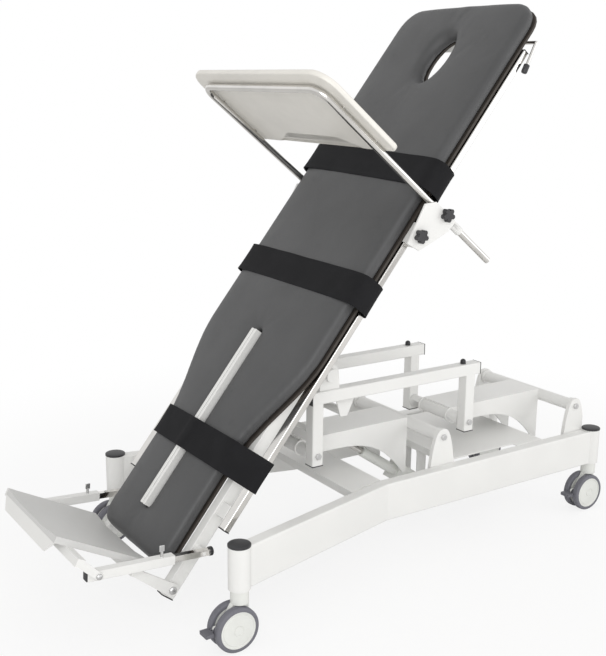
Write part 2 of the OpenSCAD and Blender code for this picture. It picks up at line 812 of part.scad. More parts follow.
module face_bowl() {
    h = face_depth + crown + over;
    translate([face_s, 0, -2 * mattress_h]) linear_extrude(3 * mattress_h) face_shape(face_inner);
    translate([face_s, 0, -face_depth])
        linear_extrude(h, scale = 1 + (1 / face_inner - 1) * h / face_depth) face_shape(face_inner);
}

module mattress() {
    color(vinyl) on_table() difference() {
        loft([for (s = stations) [for (p = mattress_section(half_width(s), end_drop(s)))
            [s, p[0], p[1]]]]);
        translate([0, 0, -2 * mattress_h]) linear_extrude(3 * mattress_h) slot_shape(0);
        face_bowl();
    }
}

board_inset = 4;
board_face = 0.84;
module mattress_board() {
    ends = [board_inset, mattress_l - board_inset];
    inner = [for (s = stations) if (s > 2 * ends[0] && s < ends[1] - ends[0]) s];
    edge = [for (s = concat([ends[0]], inner, [ends[1]])) [s, half_width(s) - board_inset]];
    color(board_tone) on_table() translate([0, 0, deck_n]) linear_extrude(board_t - soft_fit)
        difference() {
            polygon(concat(edge, [for (k = [len(edge) - 1:-1:0]) [edge[k][0], -edge[k][1]]]));
            slot_shape(board_inset);
            translate([face_s, 0]) face_shape(board_face);
        }
}

divider_t = 11;
divider_half = 13;
divider_inset = 8;

module leg_divider() {
    l = slot_l - 2 * divider_inset;
    color(white_paint) on_table() translate([slot_s + divider_inset, 0, deck_n]) difference() {
        translate([0, -divider_half, 0]) cube([l, 2 * divider_half, divider_h - deck_n]);
        translate([-over, divider_t - divider_half, divider_t])
            cube([l + 2 * over, 2 * (divider_half - divider_t), divider_h - deck_n]);
    }
}

// Accessory rails and what clamps to them
acc_drop = 5;
acc_y = body_half_w;
acc_l = mattress_l - acc_s - acc_end;
acc_top_n = deck_n - acc_drop;
mount_l = 40;
mount_shares = [0.014, 0.288, 0.538, 0.788, 0.975];

module acc_rail_bar(side) {
    translate([acc_s, side > 0 ? acc_y - acc_w : -acc_y, acc_top_n - acc_h])
        cube([acc_l, acc_w, acc_h]);
}

module accessory_rails() {
    color(chrome_tone) on_table() for (side = [-1, 1]) acc_rail_bar(side);
}

module rail_mounts() {
    gap = acc_y - acc_w - side_tube_y;
    color(white_paint) on_table() for (share = mount_shares) for (side = [-1, 1])
        mirror([0, side < 0 ? 1 : 0, 0])
        translate([acc_s + share * acc_l, side_tube_y, acc_top_n - acc_h])
        cube([mount_l, gap, acc_h]);
}

module rail_caps() {
    color(black_plastic) on_table() for (side = [-1, 1]) mirror([0, side < 0 ? 1 : 0, 0]) {
        for (s = [acc_s - cap_t, acc_s + acc_l])
            translate([s, acc_y - acc_w, acc_top_n - acc_h]) cube([cap_t, acc_w, acc_h]);
        translate([tube_foot_s - cap_t, tube_in_y, deck_n - side_tube_h])
            cube([cap_t, side_tube_w, side_tube_h]);
        translate([tube_head_s, tube_in_y, deck_n - side_tube_h])
            cube([cap_t, side_tube_w, side_tube_h]);
    }
}

// Straps: a flat ribbon that follows a line of points across the table
function turn_at(p, k) = let (
        a = k == 0 ? unit2(p[1] - p[0]) : unit2(p[k] - p[k - 1]),
        b = k == len(p) - 1 ? a : unit2(p[k + 1] - p[k]))
    (left_of(a) + left_of(b)) / (1 + left_of(a) * left_of(b));
function ribbon(p, t) = concat(
    [for (k = [0:len(p) - 1]) p[k] + turn_at(p, k) * t / 2],
    [for (k = [len(p) - 1:-1:0]) p[k] - turn_at(p, k) * t / 2]);

strap_lift = strap_t / 2 + soft_fit;
under_rail_n = acc_top_n - acc_h - strap_lift;
beside_rail_y = acc_y + strap_lift;
strap_from_tray = 4;
strap_bow = 22;
chest_s = tray_s + strap_from_tray;
hip_s = 865;
calf_s = 300;

module strap_across(s, path) {
    color(webbing) on_table() translate([s + strap_w, 0, 0]) rotate([90, 0, -90])
        linear_extrude(strap_w) polygon(ribbon(path, strap_t));
}

// Half of a body strap, from under the rail to the middle of the mattress
function body_half(w) = [
    [acc_y - acc_w / 2, under_rail_n], [beside_rail_y, under_rail_n],
    [w + strap_bow, deck_n], [w + strap_bow, -mattress_h / 2],
    [w + strap_bow / 2, -edge_r * 0.1],
    [w - edge_r, strap_lift + over], [w * 0.7, crown * 0.75 + strap_lift + over]
];
function both_halves(h) = concat(h, [for (k = [len(h) - 1:-1:0]) [-h[k][0], h[k][1]]]);

module strap_chest() { strap_across(chest_s, both_halves(body_half(body_half_w))); }
module strap_hip() { strap_across(hip_s, both_halves(body_half(body_half_w))); }

// The calf strap leaves the narrow leg part and runs out over the rails
module strap_leg() {
    w = half_width(calf_s + strap_w);
    divider_top = divider_h + strap_lift + over;
    near = [
        [acc_y - acc_w / 2, under_rail_n], [beside_rail_y, under_rail_n],
        [beside_rail_y, acc_top_n + strap_lift], [w + edge_r, strap_lift - edge_r / 2],
        [w - edge_r, crown + strap_lift], [divider_half + edge_r, divider_top - strap_t],
        [divider_half, divider_top]
    ];
    tube_side_y = side_tube_y + strap_lift;
    tube_under_n = deck_n - side_tube_h - strap_lift;
    far = [
        [-divider_half, divider_top], [-divider_half - edge_r, divider_top - strap_t],
        [-w + edge_r, crown * 0.7 + strap_lift], [-w - strap_lift, -edge_r / 2],
        [-w - strap_lift, edge_r - mattress_h], [-tube_side_y, deck_n + 2 * strap_lift],
        [-tube_side_y, tube_under_n], [-tube_in_y, tube_under_n]
    ];
    strap_across(calf_s, concat(near, far));
}

// Tray: a board square to the mattress on a chrome U tube
tray_corner_r = 65;
cut_from_y = 215;
cut_to_y = 110;
tray_tube_gap = 3;
tube_s = tray_s - tray_tube_r - tray_tube_gap;
sleeve_wall = 3;
arm_y = acc_y + tray_tube_r + sleeve_wall + slide_fit;
tray_half_w = body_half_w + tray_past;
tray_tube_bend = 45;
tray_tabs = [215, 355];

module tray_outline(grow) {
    w = tray_half_w + grow;
    top = tray_out_n + grow;
    r = tray_corner_r + grow;
    low = tray_in_n - grow;
    half = [for (k = [0:8]) [w - r + r * cos(11.25 * k), top - r + r * sin(11.25 * k)]];
    edge = [for (k = [0:8]) let (t = k / 8)
        [cut_from_y + (cut_to_y - cut_from_y) * t, low + tray_cut * smooth(t)]];
    right = concat([[w - tray_corner_r / 4, low], [w, low + tray_corner_r / 4]], half);
    polygon(concat(
        right,
        [for (k = [len(right) - 1:-1:0]) [-right[k][0], right[k][1]]],
        [for (p = edge) [-p[0], p[1]]],
        [for (k = [len(edge) - 1:-1:0]) edge[k]]));
}

// Stands the outline, drawn in y and n, square to the mattress at a given s
module across_table(s, h) {
    translate([s, 0, 0]) rotate([90, 0, 90]) linear_extrude(h) children();
}

module tray_panel() {
    rim_t = 14;
    color(tray_cream) on_table() difference() {
        across_table(tray_s, tray_t + tray_rim_h) tray_outline(0);
        across_table(tray_s + tray_t, tray_rim_h + over) tray_outline(-rim_t);
    }
}

module tray_frame() {
    top = tray_out_n - tray_tube_bend;
    color(chrome_tone) on_table() translate([tube_s, 0, 0]) {
        for (side = [-1, 1]) translate([0, side * arm_y, -arm_end_n])
            cylinder(r = tray_tube_r, h = arm_end_n + top - tray_tube_bend);
        translate([0, 0, top]) rotate([90, 0, 0])
            cylinder(r = tray_tube_r, h = 2 * (arm_y - tray_tube_bend), center = true);
        for (side = [-1, 1]) mirror([0, side < 0 ? 1 : 0, 0])
            translate([0, arm_y - tray_tube_bend, top - tray_tube_bend]) rotate([90, 0, 90])
            rotate_extrude(angle = 90) translate([tray_tube_bend, 0])
            circle(r = tray_tube_r, $fn = 32);
        for (side = [-1, 1]) for (n = tray_tabs)
            translate([tray_tube_r - over, side * arm_y, n]) rotate([0, 90, 0])
            cylinder(r = tray_tube_r / 2, h = tray_tube_gap + over);
    }
}

sleeve_top_n = -67;
sleeve_low_n = -191;
clamp_back = 132;
clamp_s = tube_s - clamp_back;
clamp_l = 64;
clamp_t = 5;
lip_reach = 8;
bracket_corners = [[112, -24], [-8, -44], [0, -92], [100, -143], [139, -148], [139, -52]];
clamp_face_y = arm_y + tray_tube_r + sleeve_wall;
knob_r = 20;
arm_knob_n = -105;
clamp_knob_s = clamp_s + clamp_l / 2;
clamp_knob_n = acc_top_n - acc_h / 2;
screw_r = 4;

module tray_clamp() {
    bore = tray_tube_r + slide_fit;
    outer = tray_tube_r + sleeve_wall;
    lip_in = acc_y - lip_reach;
    top = acc_top_n + slide_fit;
    low = acc_top_n - acc_h - slide_fit;
    lip_h = deck_n - slide_fit - top;
    difference() {
        union() {
            translate([tube_s, arm_y, sleeve_low_n]) cylinder(r = outer, h = sleeve_top_n - sleeve_low_n);
            translate([0, clamp_face_y - over, 0]) rotate([90, 0, 0]) mirror([0, 0, 1])
                linear_extrude(clamp_t + over) translate([clamp_s, 0]) polygon(bracket_corners);
            translate([clamp_s, acc_y + slide_fit, low - clamp_t])
                cube([clamp_l, clamp_face_y - acc_y - slide_fit, top - low + clamp_t + lip_h]);
            translate([clamp_s, lip_in, top])
                cube([clamp_l, acc_y - lip_in + over, lip_h]);
            translate([clamp_s, lip_in, low - clamp_t])
                cube([clamp_l, acc_y - lip_in + over, clamp_t]);
        }
        translate([tube_s, arm_y, sleeve_low_n - over])
            cylinder(r = bore, h = sleeve_top_n - sleeve_low_n + 2 * over);
        for (hole = [[tube_s, arm_knob_n], [clamp_knob_s, clamp_knob_n]])
            translate([hole[0], clamp_face_y, hole[1]]) rotate([90, 0, 0])
            cylinder(r = screw_r + run_fit, h = 2 * (clamp_face_y - acc_y) - slide_fit,
                center = true);
    }
}

module tray_clamps() {
    color(white_paint) on_table() for (side = [-1, 1]) mirror([0, side < 0 ? 1 : 0, 0])
        tray_clamp();
}

knob_h = 16;
knob_gap = 1;

module star_knob(s, n, side, tip_y) {
    base = clamp_face_y + clamp_t + knob_gap;
    color(black_plastic) on_table() mirror([0, side < 0 ? 1 : 0, 0])
        translate([s, base, n]) rotate([-90, 0, 0]) {
            linear_extrude(knob_h) {
                circle(r = 0.68 * knob_r);
                for (a = [0:72:288]) rotate(a) translate([0.66 * knob_r, 0])
                    circle(r = 0.34 * knob_r, $fn = 24);
            }
            translate([0, 0, tip_y - base]) cylinder(r = screw_r, h = base - tip_y + over);
        }
}

module arm_knob(side) { star_knob(tube_s, arm_knob_n, side, arm_y + tray_tube_r + slide_fit); }
module clamp_knob(side) { star_knob(clamp_knob_s, clamp_knob_n, side, acc_y + slide_fit); }

// Footplate: in its own frame -x runs from heel to toe and z is square to the plate
function from_table(s, n) = [
    tilt_x + (s - pivot_s) * cos(tilt_now) - (n + pivot_n) * sin(tilt_now),
    tilt_z + (s - pivot_s) * sin(tilt_now) + (n + pivot_n) * cos(tilt_now)
];
heel_pin = from_table(heel_s, heel_n);
stay_pin = from_table(stay_pin_s, stay_pin_n);
foot_edge = from_table(0, 0);
foot_gap = 16;
toe_tube_t = 22;
stay_past = 30;
stay_y = side_tube_y + stay_past;
sleeve_over = 28;
foot_half_w = side_tube_y - foot_inset;
foot_bevel = 90;

module on_footplate() {
    translate([foot_edge[0], 0, foot_edge[1]]) rotate([0, foot_slope, 0]) children();
}
function from_plate(u, w) = [
    foot_edge[0] - u * cos(foot_slope) + w * sin(foot_slope),
    foot_edge[1] + u * sin(foot_slope) + w * cos(foot_slope)
];

module footplate() {
    lip_in = foot_half_w - sheet_t;
    flat = foot_half_w - foot_bevel;
    color(plate_grey) on_footplate() translate([-foot_gap - foot_l, 0, 0]) rotate([90, 0, 90])
        linear_extrude(foot_l) polygon([
            [-foot_half_w, -foot_t], [foot_half_w, -foot_t], [foot_half_w, foot_lip_h],
            [lip_in, foot_lip_h], [flat, 0], [-flat, 0], [-lip_in, foot_lip_h],
            [-foot_half_w, foot_lip_h]
        ]);
}

toe_u = 255;
toe_w = -foot_t;
toe_pin_u = 191;
toe_pin_drop = 31;
toe_pin = from_plate(toe_pin_u, toe_w - toe_pin_drop);
toe_lug_t = 4;
lug_clear = 2;
toe_lug_y = stay_y + sleeve_t / 2 + lug_clear + toe_lug_t / 2;
bracket_past = 7;
bracket_y = side_tube_y + bracket_past;
toe_flange_h = 35;
bracket_t = 6;
heel_plate_r = 18;
rib_u = 70;

module footplate_bracket() {
    rib = from_plate(rib_u, toe_w - toe_tube_t / 2);
    toe_tube_at = from_plate(toe_u, toe_w - toe_tube_t / 2);
    color(white_paint) {
        on_footplate() {
            translate([-toe_u - toe_tube_t / 2, -toe_lug_y - toe_lug_t / 2, toe_w - toe_tube_t])
                cube([toe_tube_t, 2 * toe_lug_y + toe_lug_t, toe_tube_t]);
            translate([-rib_u - toe_tube_t / 2, -bracket_y - bracket_t / 2, toe_w - toe_tube_t])
                cube([toe_tube_t, 2 * bracket_y + bracket_t, toe_tube_t]);
            translate([-foot_gap - foot_l, 0, 0]) rotate([90, 0, 90]) linear_extrude(sheet_t)
                polygon([
                    [-foot_half_w, toe_w], [toe_flange_h - foot_half_w, toe_w - toe_flange_h],
                    [foot_half_w - toe_flange_h, toe_w - toe_flange_h], [foot_half_w, toe_w]
                ]);
        }
        for (side = [-1, 1]) {
            translate([0, side * bracket_y + bracket_t / 2, 0]) rotate([90, 0, 0])
                linear_extrude(bracket_t) difference() {
                    hull() {
                        translate(heel_pin) circle(r = heel_plate_r, $fn = 32);
                        translate(rib) circle(r = toe_tube_t / 2, $fn = 32);
                    }
                    translate(heel_pin) circle(r = pin_r - over);
                }
            translate([heel_pin[0], side * (bracket_y + bracket_t / 2), heel_pin[1]])
                rotate([side * 90, 0, 0]) {
                    cylinder(r = pin_r - run_fit, h = side_tube_w + bracket_t);
                    translate([0, 0, -bracket_t]) cylinder(r = 2 * pin_r, h = bracket_t, $fn = 6);
                }
            translate([0, side * toe_lug_y, 0]) rotate([90, 0, 0])
                linear_extrude(toe_lug_t, center = true) hull() {
                    translate(toe_pin) circle(r = 2 * pin_r, $fn = 32);
                    translate(toe_tube_at) circle(r = toe_tube_t / 2, $fn = 32);
                }
            translate([toe_pin[0], side * (toe_lug_y + toe_lug_t / 2), toe_pin[1]])
                rotate([side * 90, 0, 0])
                cylinder(r = pin_r - over, h = sleeve_t + lug_clear + toe_lug_t);
        }
    }
}

stay_angle = angle_to(toe_pin, stay_pin);
stay_bore = 20.6;
sleeve_floor = 13;
stay_rest_l = 170;
screw_in = 34;
wing_l = 14;
wing_t = 4;
wing_h = 16;
stay_tail = 18;
stay_cap_r = 12;
stay_cap_l = 10;

module stay_sleeves() {
    color(white_paint) for (side = [-1, 1])
        translate([toe_pin[0], side * stay_y, toe_pin[1]]) rotate([0, -stay_angle, 0])
        difference() {
            translate([-sleeve_over, -sleeve_t / 2, -sleeve_t / 2])
                cube([sleeve_l, sleeve_t, sleeve_t]);
            translate([sleeve_floor, -stay_bore / 2, -stay_bore / 2])
                cube([sleeve_l, stay_bore, stay_bore]);
            rotate([90, 0, 0]) cylinder(r = pin_r - over + run_fit, h = 2 * sleeve_t, center = true);
            translate([sleeve_l - sleeve_over - screw_in, 0, 0])
                cylinder(r = screw_r + run_fit, h = sleeve_t);
        }
}

module stay_tubes() {
    for (side = [-1, 1]) translate([stay_pin[0], side * stay_y, stay_pin[1]])
        rotate([0, 180 - stay_angle, 0]) {
            color(chrome_tone) difference() {
                translate([-stay_tail, -stay_t / 2, -stay_t / 2])
                    cube([stay_rest_l + stay_tail, stay_t, stay_t]);
                rotate([90, 0, 0]) cylinder(r = pin_r + run_fit, h = 2 * stay_t, center = true);
            }
            color(black_plastic) translate([-stay_tail - stay_cap_l, 0, 0]) rotate([0, 90, 0])
                cylinder(r = stay_cap_r, h = stay_cap_l);
        }
}

module thumb_screw(side) {
    color(steel_tone)
        translate([toe_pin[0], side * stay_y, toe_pin[1]]) rotate([0, -stay_angle, 0])
        translate([sleeve_l - sleeve_over - screw_in, 0, stay_bore / 2]) {
            cylinder(r = screw_r, h = wing_h + 2 * over);
            translate([-wing_l / 2, -wing_t / 2, wing_h]) cube([wing_l, wing_t, wing_h]);
        }
}

// Head lever: a bent rod on a cross shaft at the head end
lever_back = 32;
lever_s = tube_head_s - lever_back;
lever_n = deck_n - 18;
lever_r = 5;
grip_r = 9;
lever_y = acc_y + grip_r + 2 * over;
grip_l = 46;
lever_l = 74;
lever_angle = 192;

module head_lever() {
    on_table() translate([lever_s, 0, lever_n]) {
        color(chrome_tone) {
            translate([0, side_tube_w / 2 - side_tube_y, 0]) rotate([90, 0, 0])
                cylinder(r = lever_r, h = lever_y - side_tube_y + side_tube_w / 2);
            translate([0, -lever_y, 0]) rotate([0, -lever_angle + 90, 0]) {
                sphere(r = lever_r);
                cylinder(r = lever_r, h = lever_l);
            }
        }
        color(black_plastic) translate([0, -lever_y, 0]) rotate([0, -lever_angle + 90, 0])
            translate([0, 0, lever_l - grip_l / 2]) cylinder(r = grip_r, h = grip_l);
    }
}

// Casters: drawn about a post axis, the wheels trail towards the foot end
axle_r = 6;
fin_t = wheel_gap - 3;
fin_r = 38.75;
pedal_eye_r = 8;
pedal_gap = 5;
pedal_x = -trail - fin_r - pedal_eye_r - pedal_gap;
pedal_z = wheel_r + pedal_eye_r;
pedal_pin_r = 4;
ear_w = 6;
cheek_t = 3;
pad_l = 22;
pad_w = 36;
pad_t = 10;
pad_drop = 2;
pad_gap = 4;
tyre_bevel = 4;
neck_top = post_z - slide_fit;
neck_z = 2 * wheel_r + 2 * over;

module caster_at(x, y) { translate([x, y, 0]) children(); }

module caster_body() {
    color(hub_white) difference() {
        union() {
            translate([0, 0, neck_z]) cylinder(r = neck_r, h = neck_top - neck_z);
            translate([0, 0, neck_top - over]) cylinder(r = stem_r - run_fit, h = stem_h);
            translate([0, fin_t / 2, 0]) rotate([90, 0, 0]) linear_extrude(fin_t) {
                translate([-trail, wheel_r]) circle(r = fin_r);
                polygon([
                    [-trail - fin_r, wheel_r], [-trail + fin_r, wheel_r],
                    [neck_r, neck_z], [neck_r, neck_z + over], [-neck_r, neck_z + over],
                    [-trail - 0.5 * wheel_r, 1.4 * wheel_r]
                ]);
            }
            translate([pedal_x, -ear_w / 2, pedal_z - pedal_eye_r])
                cube([fin_r / 2, ear_w, 2 * pedal_eye_r]);
            translate([pedal_x, 0, pedal_z]) rotate([90, 0, 0])
                cylinder(r = pedal_eye_r, h = ear_w, center = true);
        }
        translate([-trail, 0, wheel_r]) rotate([90, 0, 0])
            cylinder(r = axle_r + run_fit, h = 3 * fin_t, center = true);
        translate([pedal_x, 0, pedal_z]) rotate([90, 0, 0])
            cylinder(r = pedal_pin_r + run_fit, h = 3 * ear_w, center = true);
    }
}

module caster_wheels() {
    half_gap = wheel_gap / 2;
    translate([-trail, 0, wheel_r]) {
        for (side = [-1, 1]) mirror([0, side < 0 ? 1 : 0, 0])
            translate([0, half_gap, 0]) rotate([-90, 0, 0]) {
                color(rubber_grey) rotate_extrude() polygon([
                    [wheel_r - tyre_h, 0], [wheel_r - tyre_bevel, 0], [wheel_r, tyre_bevel],
                    [wheel_r, wheel_w - tyre_bevel], [wheel_r - tyre_bevel, wheel_w],
                    [wheel_r - tyre_h, wheel_w]
                ]);
                color(hub_white) cylinder(r = wheel_r - tyre_h, h = wheel_w - over);
            }
        color(steel_tone) rotate([90, 0, 0])
            cylinder(r = axle_r, h = wheel_gap + 2 * over, center = true);
    }
}

module brake_pedal() {
    pad_x = -trail - wheel_r - pad_l - pad_gap;
    color(rubber_grey) {
        for (side = [-1, 1]) mirror([0, side < 0 ? 1 : 0, 0])
            translate([0, ear_w / 2 + slide_fit + cheek_t, 0]) rotate([90, 0, 0])
            linear_extrude(cheek_t) {
                translate([pedal_x, pedal_z]) circle(r = pedal_eye_r);
                polygon([
                    [pedal_x, pedal_z + pedal_eye_r], [pad_x + pad_l, pedal_z - pad_drop],
                    [pad_x + pad_l, pedal_z - pad_drop - pad_t], [pedal_x, pedal_z - pedal_eye_r]
                ]);
            }
        translate([pedal_x, 0, pedal_z]) rotate([90, 0, 0])
            cylinder(r = pedal_pin_r, h = ear_w + cheek_t, center = true);
        translate([pad_x, -pad_w / 2, pedal_z - pad_drop - pad_t])
            cube([pad_l + over, pad_w, pad_t]);
    }
}

base_rail(-1);  // base_rail_near
base_rail(1);  // base_rail_far
base_posts();
post_caps();
base_crossbeam();
base_deck();
pivot_ears();
ear_bolts();
control_box();
caster_at(-post_x, -foot_post_y) caster_body();  // caster_foot_near
caster_at(-post_x, foot_post_y) caster_body();  // caster_foot_far
caster_at(post_x, -head_post_y) caster_body();  // caster_head_near
caster_at(post_x, head_post_y) caster_body();  // caster_head_far
caster_at(-post_x, -foot_post_y) caster_wheels();  // wheels_foot_near
caster_at(-post_x, foot_post_y) caster_wheels();  // wheels_foot_far
caster_at(post_x, -head_post_y) caster_wheels();  // wheels_head_near
caster_at(post_x, head_post_y) caster_wheels();  // wheels_head_far
caster_at(-post_x, -foot_post_y) brake_pedal();  // pedal_foot_near
caster_at(-post_x, foot_post_y) brake_pedal();  // pedal_foot_far
caster_at(post_x, -head_post_y) brake_pedal();  // pedal_head_near
caster_at(post_x, head_post_y) brake_pedal();  // pedal_head_far
lift_arm_foot();
lift_arm_head();
lift_motor();
lift_rod();
carriage_frame(-1);  // carriage_frame_near
carriage_frame(1);  // carriage_frame_far
carriage_crossbars();
carriage_plugs();
carriage_bolts();
tilt_bearings();
tilt_motor();
tilt_rod();
side_tubes();
table_crossbars();
pivot_tube();
mattress_board();
mattress();
leg_divider();
accessory_rails();
rail_mounts();
rail_caps();
strap_chest();
strap_hip();
strap_leg();
tray_panel();
tray_frame();
tray_clamps();
arm_knob(-1);  // arm_knob_near
arm_knob(1);  // arm_knob_far
clamp_knob(-1);  // clamp_knob_near
clamp_knob(1);  // clamp_knob_far
footplate();
footplate_bracket();
stay_sleeves();
stay_tubes();
thumb_screw(-1);  // thumb_screw_near
thumb_screw(1);  // thumb_screw_far
head_lever();
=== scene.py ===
import json
import math

import bmesh
import bpy
import numpy as np
from mathutils import Matrix, Vector


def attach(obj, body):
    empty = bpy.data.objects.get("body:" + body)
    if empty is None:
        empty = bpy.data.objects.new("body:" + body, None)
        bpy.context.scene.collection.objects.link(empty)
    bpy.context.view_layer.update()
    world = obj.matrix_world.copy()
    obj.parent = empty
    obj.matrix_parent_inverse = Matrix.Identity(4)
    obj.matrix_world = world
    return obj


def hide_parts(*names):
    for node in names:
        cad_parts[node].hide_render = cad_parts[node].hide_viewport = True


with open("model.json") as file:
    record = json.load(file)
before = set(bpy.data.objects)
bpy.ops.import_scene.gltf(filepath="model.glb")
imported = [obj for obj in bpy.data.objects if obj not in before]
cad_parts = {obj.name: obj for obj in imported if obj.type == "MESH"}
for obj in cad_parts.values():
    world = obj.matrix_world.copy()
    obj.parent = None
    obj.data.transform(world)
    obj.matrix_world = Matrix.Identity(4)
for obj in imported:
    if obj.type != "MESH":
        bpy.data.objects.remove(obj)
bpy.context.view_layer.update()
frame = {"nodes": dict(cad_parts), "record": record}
mm = 0.001


def placed(name, data):
    obj = bpy.data.objects.new(name, data)
    bpy.context.scene.collection.objects.link(obj)
    return obj


# Camera, fitted to the photograph from the edges of the base and of the table top
cameraSet = {"place": (-1.965, -2.499, 1.443), "yaw": 33.795, "pitch": 13.515, "roll": 0.573,
             "lens": 56.516, "sensor": 36, "clip": (0.1, 60)}


def makeCamera(look):
    data = bpy.data.cameras.new("camera")
    data.lens, data.sensor_width = look["lens"], look["sensor"]
    data.clip_start, data.clip_end = look["clip"]
    camera = placed("camera", data)
    yaw, pitch, roll = (math.radians(look[k]) for k in ("yaw", "pitch", "roll"))
    ahead = Vector((math.sin(yaw) * math.cos(pitch), math.cos(yaw) * math.cos(pitch), -math.sin(pitch)))
    right = Vector((math.cos(yaw), -math.sin(yaw), 0))
    up = right.cross(ahead)
    rightTurned = math.cos(roll) * right + math.sin(roll) * up
    upTurned = -math.sin(roll) * right + math.cos(roll) * up
    turn = Matrix((rightTurned, upTurned, -ahead)).transposed().to_4x4()
    camera.matrix_world = Matrix.Translation(look["place"]) @ turn
    bpy.context.scene.camera = camera


makeCamera(cameraSet)
print("camera placed")


# Shader sums: a wire is a socket that takes part in Python expressions
class Wire:
    def __init__(self, maker, socket):
        self.maker, self.socket = maker, socket

    def sum(self, kind, a, b=0.0):
        return self.maker.node("ShaderNodeMath", {"operation": kind}, {0: a, 1: b})

    def __add__(self, other): return self.sum("ADD", self, other)
    def __radd__(self, other): return self.sum("ADD", other, self)
    def __rsub__(self, other): return self.sum("SUBTRACT", other, self)
    def __mul__(self, other): return self.sum("MULTIPLY", self, other)
    def least(self, other): return self.sum("MINIMUM", self, other)
    def sine(self): return self.sum("SINE", self)

    # Smooth step from 0 at low to 1 at high
    def rise(self, low, high):
        return self.maker.node("ShaderNodeMapRange", {"interpolation_type": "SMOOTHSTEP", "clamp": True},
                               {0: self, 1: low, 2: high})


class Finish:
    def __init__(self, name):
        self.material = bpy.data.materials.new(name)
        self.material.use_nodes = True
        self.tree = self.material.node_tree
        self.tree.nodes.clear()
        self.shader = self.tree.nodes.new("ShaderNodeBsdfPrincipled")
        output = self.tree.nodes.new("ShaderNodeOutputMaterial")
        self.tree.links.new(self.shader.outputs[0], output.inputs[0])
        self.coords = self.node("ShaderNodeTexCoord", out="Object")

    # One method for every other node: settings first, then values or links of the sockets
    def node(self, kind, settings=None, inputs=None, out=0):
        made = self.tree.nodes.new(kind)
        for key, value in (settings or {}).items():
            setattr(made, key, value)
        for key, value in (inputs or {}).items():
            self.feed(made.inputs[key], value)
        return Wire(self, made.outputs[out])

    def feed(self, socket, value):
        if isinstance(value, Wire):
            self.tree.links.new(value.socket, socket)
        else:
            socket.default_value = value

    def noise(self, scale, detail, roughness=0.5, stretch=None):
        coords = self.coords
        if stretch:
            coords = self.node("ShaderNodeMapping", inputs={0: coords, 3: stretch})
        return self.node("ShaderNodeTexNoise", {"noise_dimensions": "3D"},
                         {"Vector": coords, "Scale": scale, "Detail": detail, "Roughness": roughness})

    def blend(self, share, low, high):
        return self.node("ShaderNodeMix", {"data_type": "RGBA"},
                         {0: share, 6: (*low, 1), 7: (*high, 1)}, out=2)

    def part(self, coords, axis):
        return self.node("ShaderNodeSeparateXYZ", inputs={0: coords}, out=axis)

    def bump(self, height, distance, strength, after=None):
        inputs = {"Height": height, "Distance": distance, "Strength": strength}
        if after:
            inputs["Normal"] = after
        return self.node("ShaderNodeBump", inputs=inputs)

    def set(self, **values):
        for key, value in values.items():
            self.feed(self.shader.inputs[key.replace("_", " ")], value)
        return self.material


def shaded(tone, share):
    return tuple(share * c for c in tone)


def paintFinish(name, tone, shine=0.36):
    f = Finish(name)
    cloudy = f.noise(6.0, 2.0)
    peel = f.noise(650.0, 2.0)
    scuff = f.noise(45.0, 6.0, 0.7).rise(0.62, 0.75)
    # The colour darkens towards the bottom: fully below 0.05 m of height, fading out by 0.33 m
    height = f.part(f.coords, 2)
    lowDarkening = (1 - height.rise(0.05, 0.33)) * 0.35
    share = (cloudy.rise(0.3, 0.7) * 0.4 + lowDarkening + scuff * 0.12).least(1.0)
    return f.set(Base_Color=f.blend(share, tone, shaded(tone, 0.93)),
                 Roughness=shine + cloudy * 0.08 + scuff * 0.12,
                 Normal=f.bump(peel, 0.00012, 0.35), Specular_IOR_Level=0.5)


def chromeFinish(name, tone):
    f = Finish(name)
    smear = f.noise(9.0, 4.0, 0.6)
    fine = f.noise(320.0, 3.0)
    return f.set(Base_Color=f.blend(smear.rise(0.35, 0.75), tone, shaded(tone, 0.86)),
                 Metallic=1.0, Roughness=0.07 + smear * 0.06 + fine * 0.03)


def steelFinish(name, tone):
    f = Finish(name)
    streak = f.noise(260.0, 4.0, 0.6, stretch=(1, 1, 0.08))
    return f.set(Base_Color=f.blend(streak, tone, shaded(tone, 0.72)), Metallic=1.0,
                 Roughness=0.26 + streak * 0.16, Normal=f.bump(streak, 0.00008, 0.5))


def plasticFinish(name, tone, shine, grain=420.0, mottle=0.85):
    f = Finish(name)
    fine = f.noise(grain, 2.0)
    cloudy = f.noise(14.0, 3.0)
    return f.set(Base_Color=f.blend(cloudy.rise(0.35, 0.7), tone, shaded(tone, mottle)),
                 Roughness=shine + cloudy * 0.08, Normal=f.bump(fine, 0.00010, 0.6))


def vinylFinish(name, tone):
    f = Finish(name)
    cell = f.node("ShaderNodeTexVoronoi", {"feature": "DISTANCE_TO_EDGE"},
                  {"Vector": f.coords, "Scale": 430.0})
    crease = f.noise(1100.0, 3.0)
    cloudy = f.noise(5.0, 3.0)
    worn = f.noise(24.0, 5.0, 0.65).rise(0.55, 0.8)
    grain = cell.rise(0.0, 0.28) + crease * 0.35
    slow = f.noise(16.0, 2.0)
    return f.set(Base_Color=f.blend(cloudy.rise(0.3, 0.7) * 0.6 + worn * 0.4, tone, shaded(tone, 0.78)),
                 Roughness=0.40 + cloudy * 0.10 + worn * 0.08,
                 Normal=f.bump(grain, 0.00022, 0.55, f.bump(slow, 0.0022, 0.35)), Specular_IOR_Level=0.45)


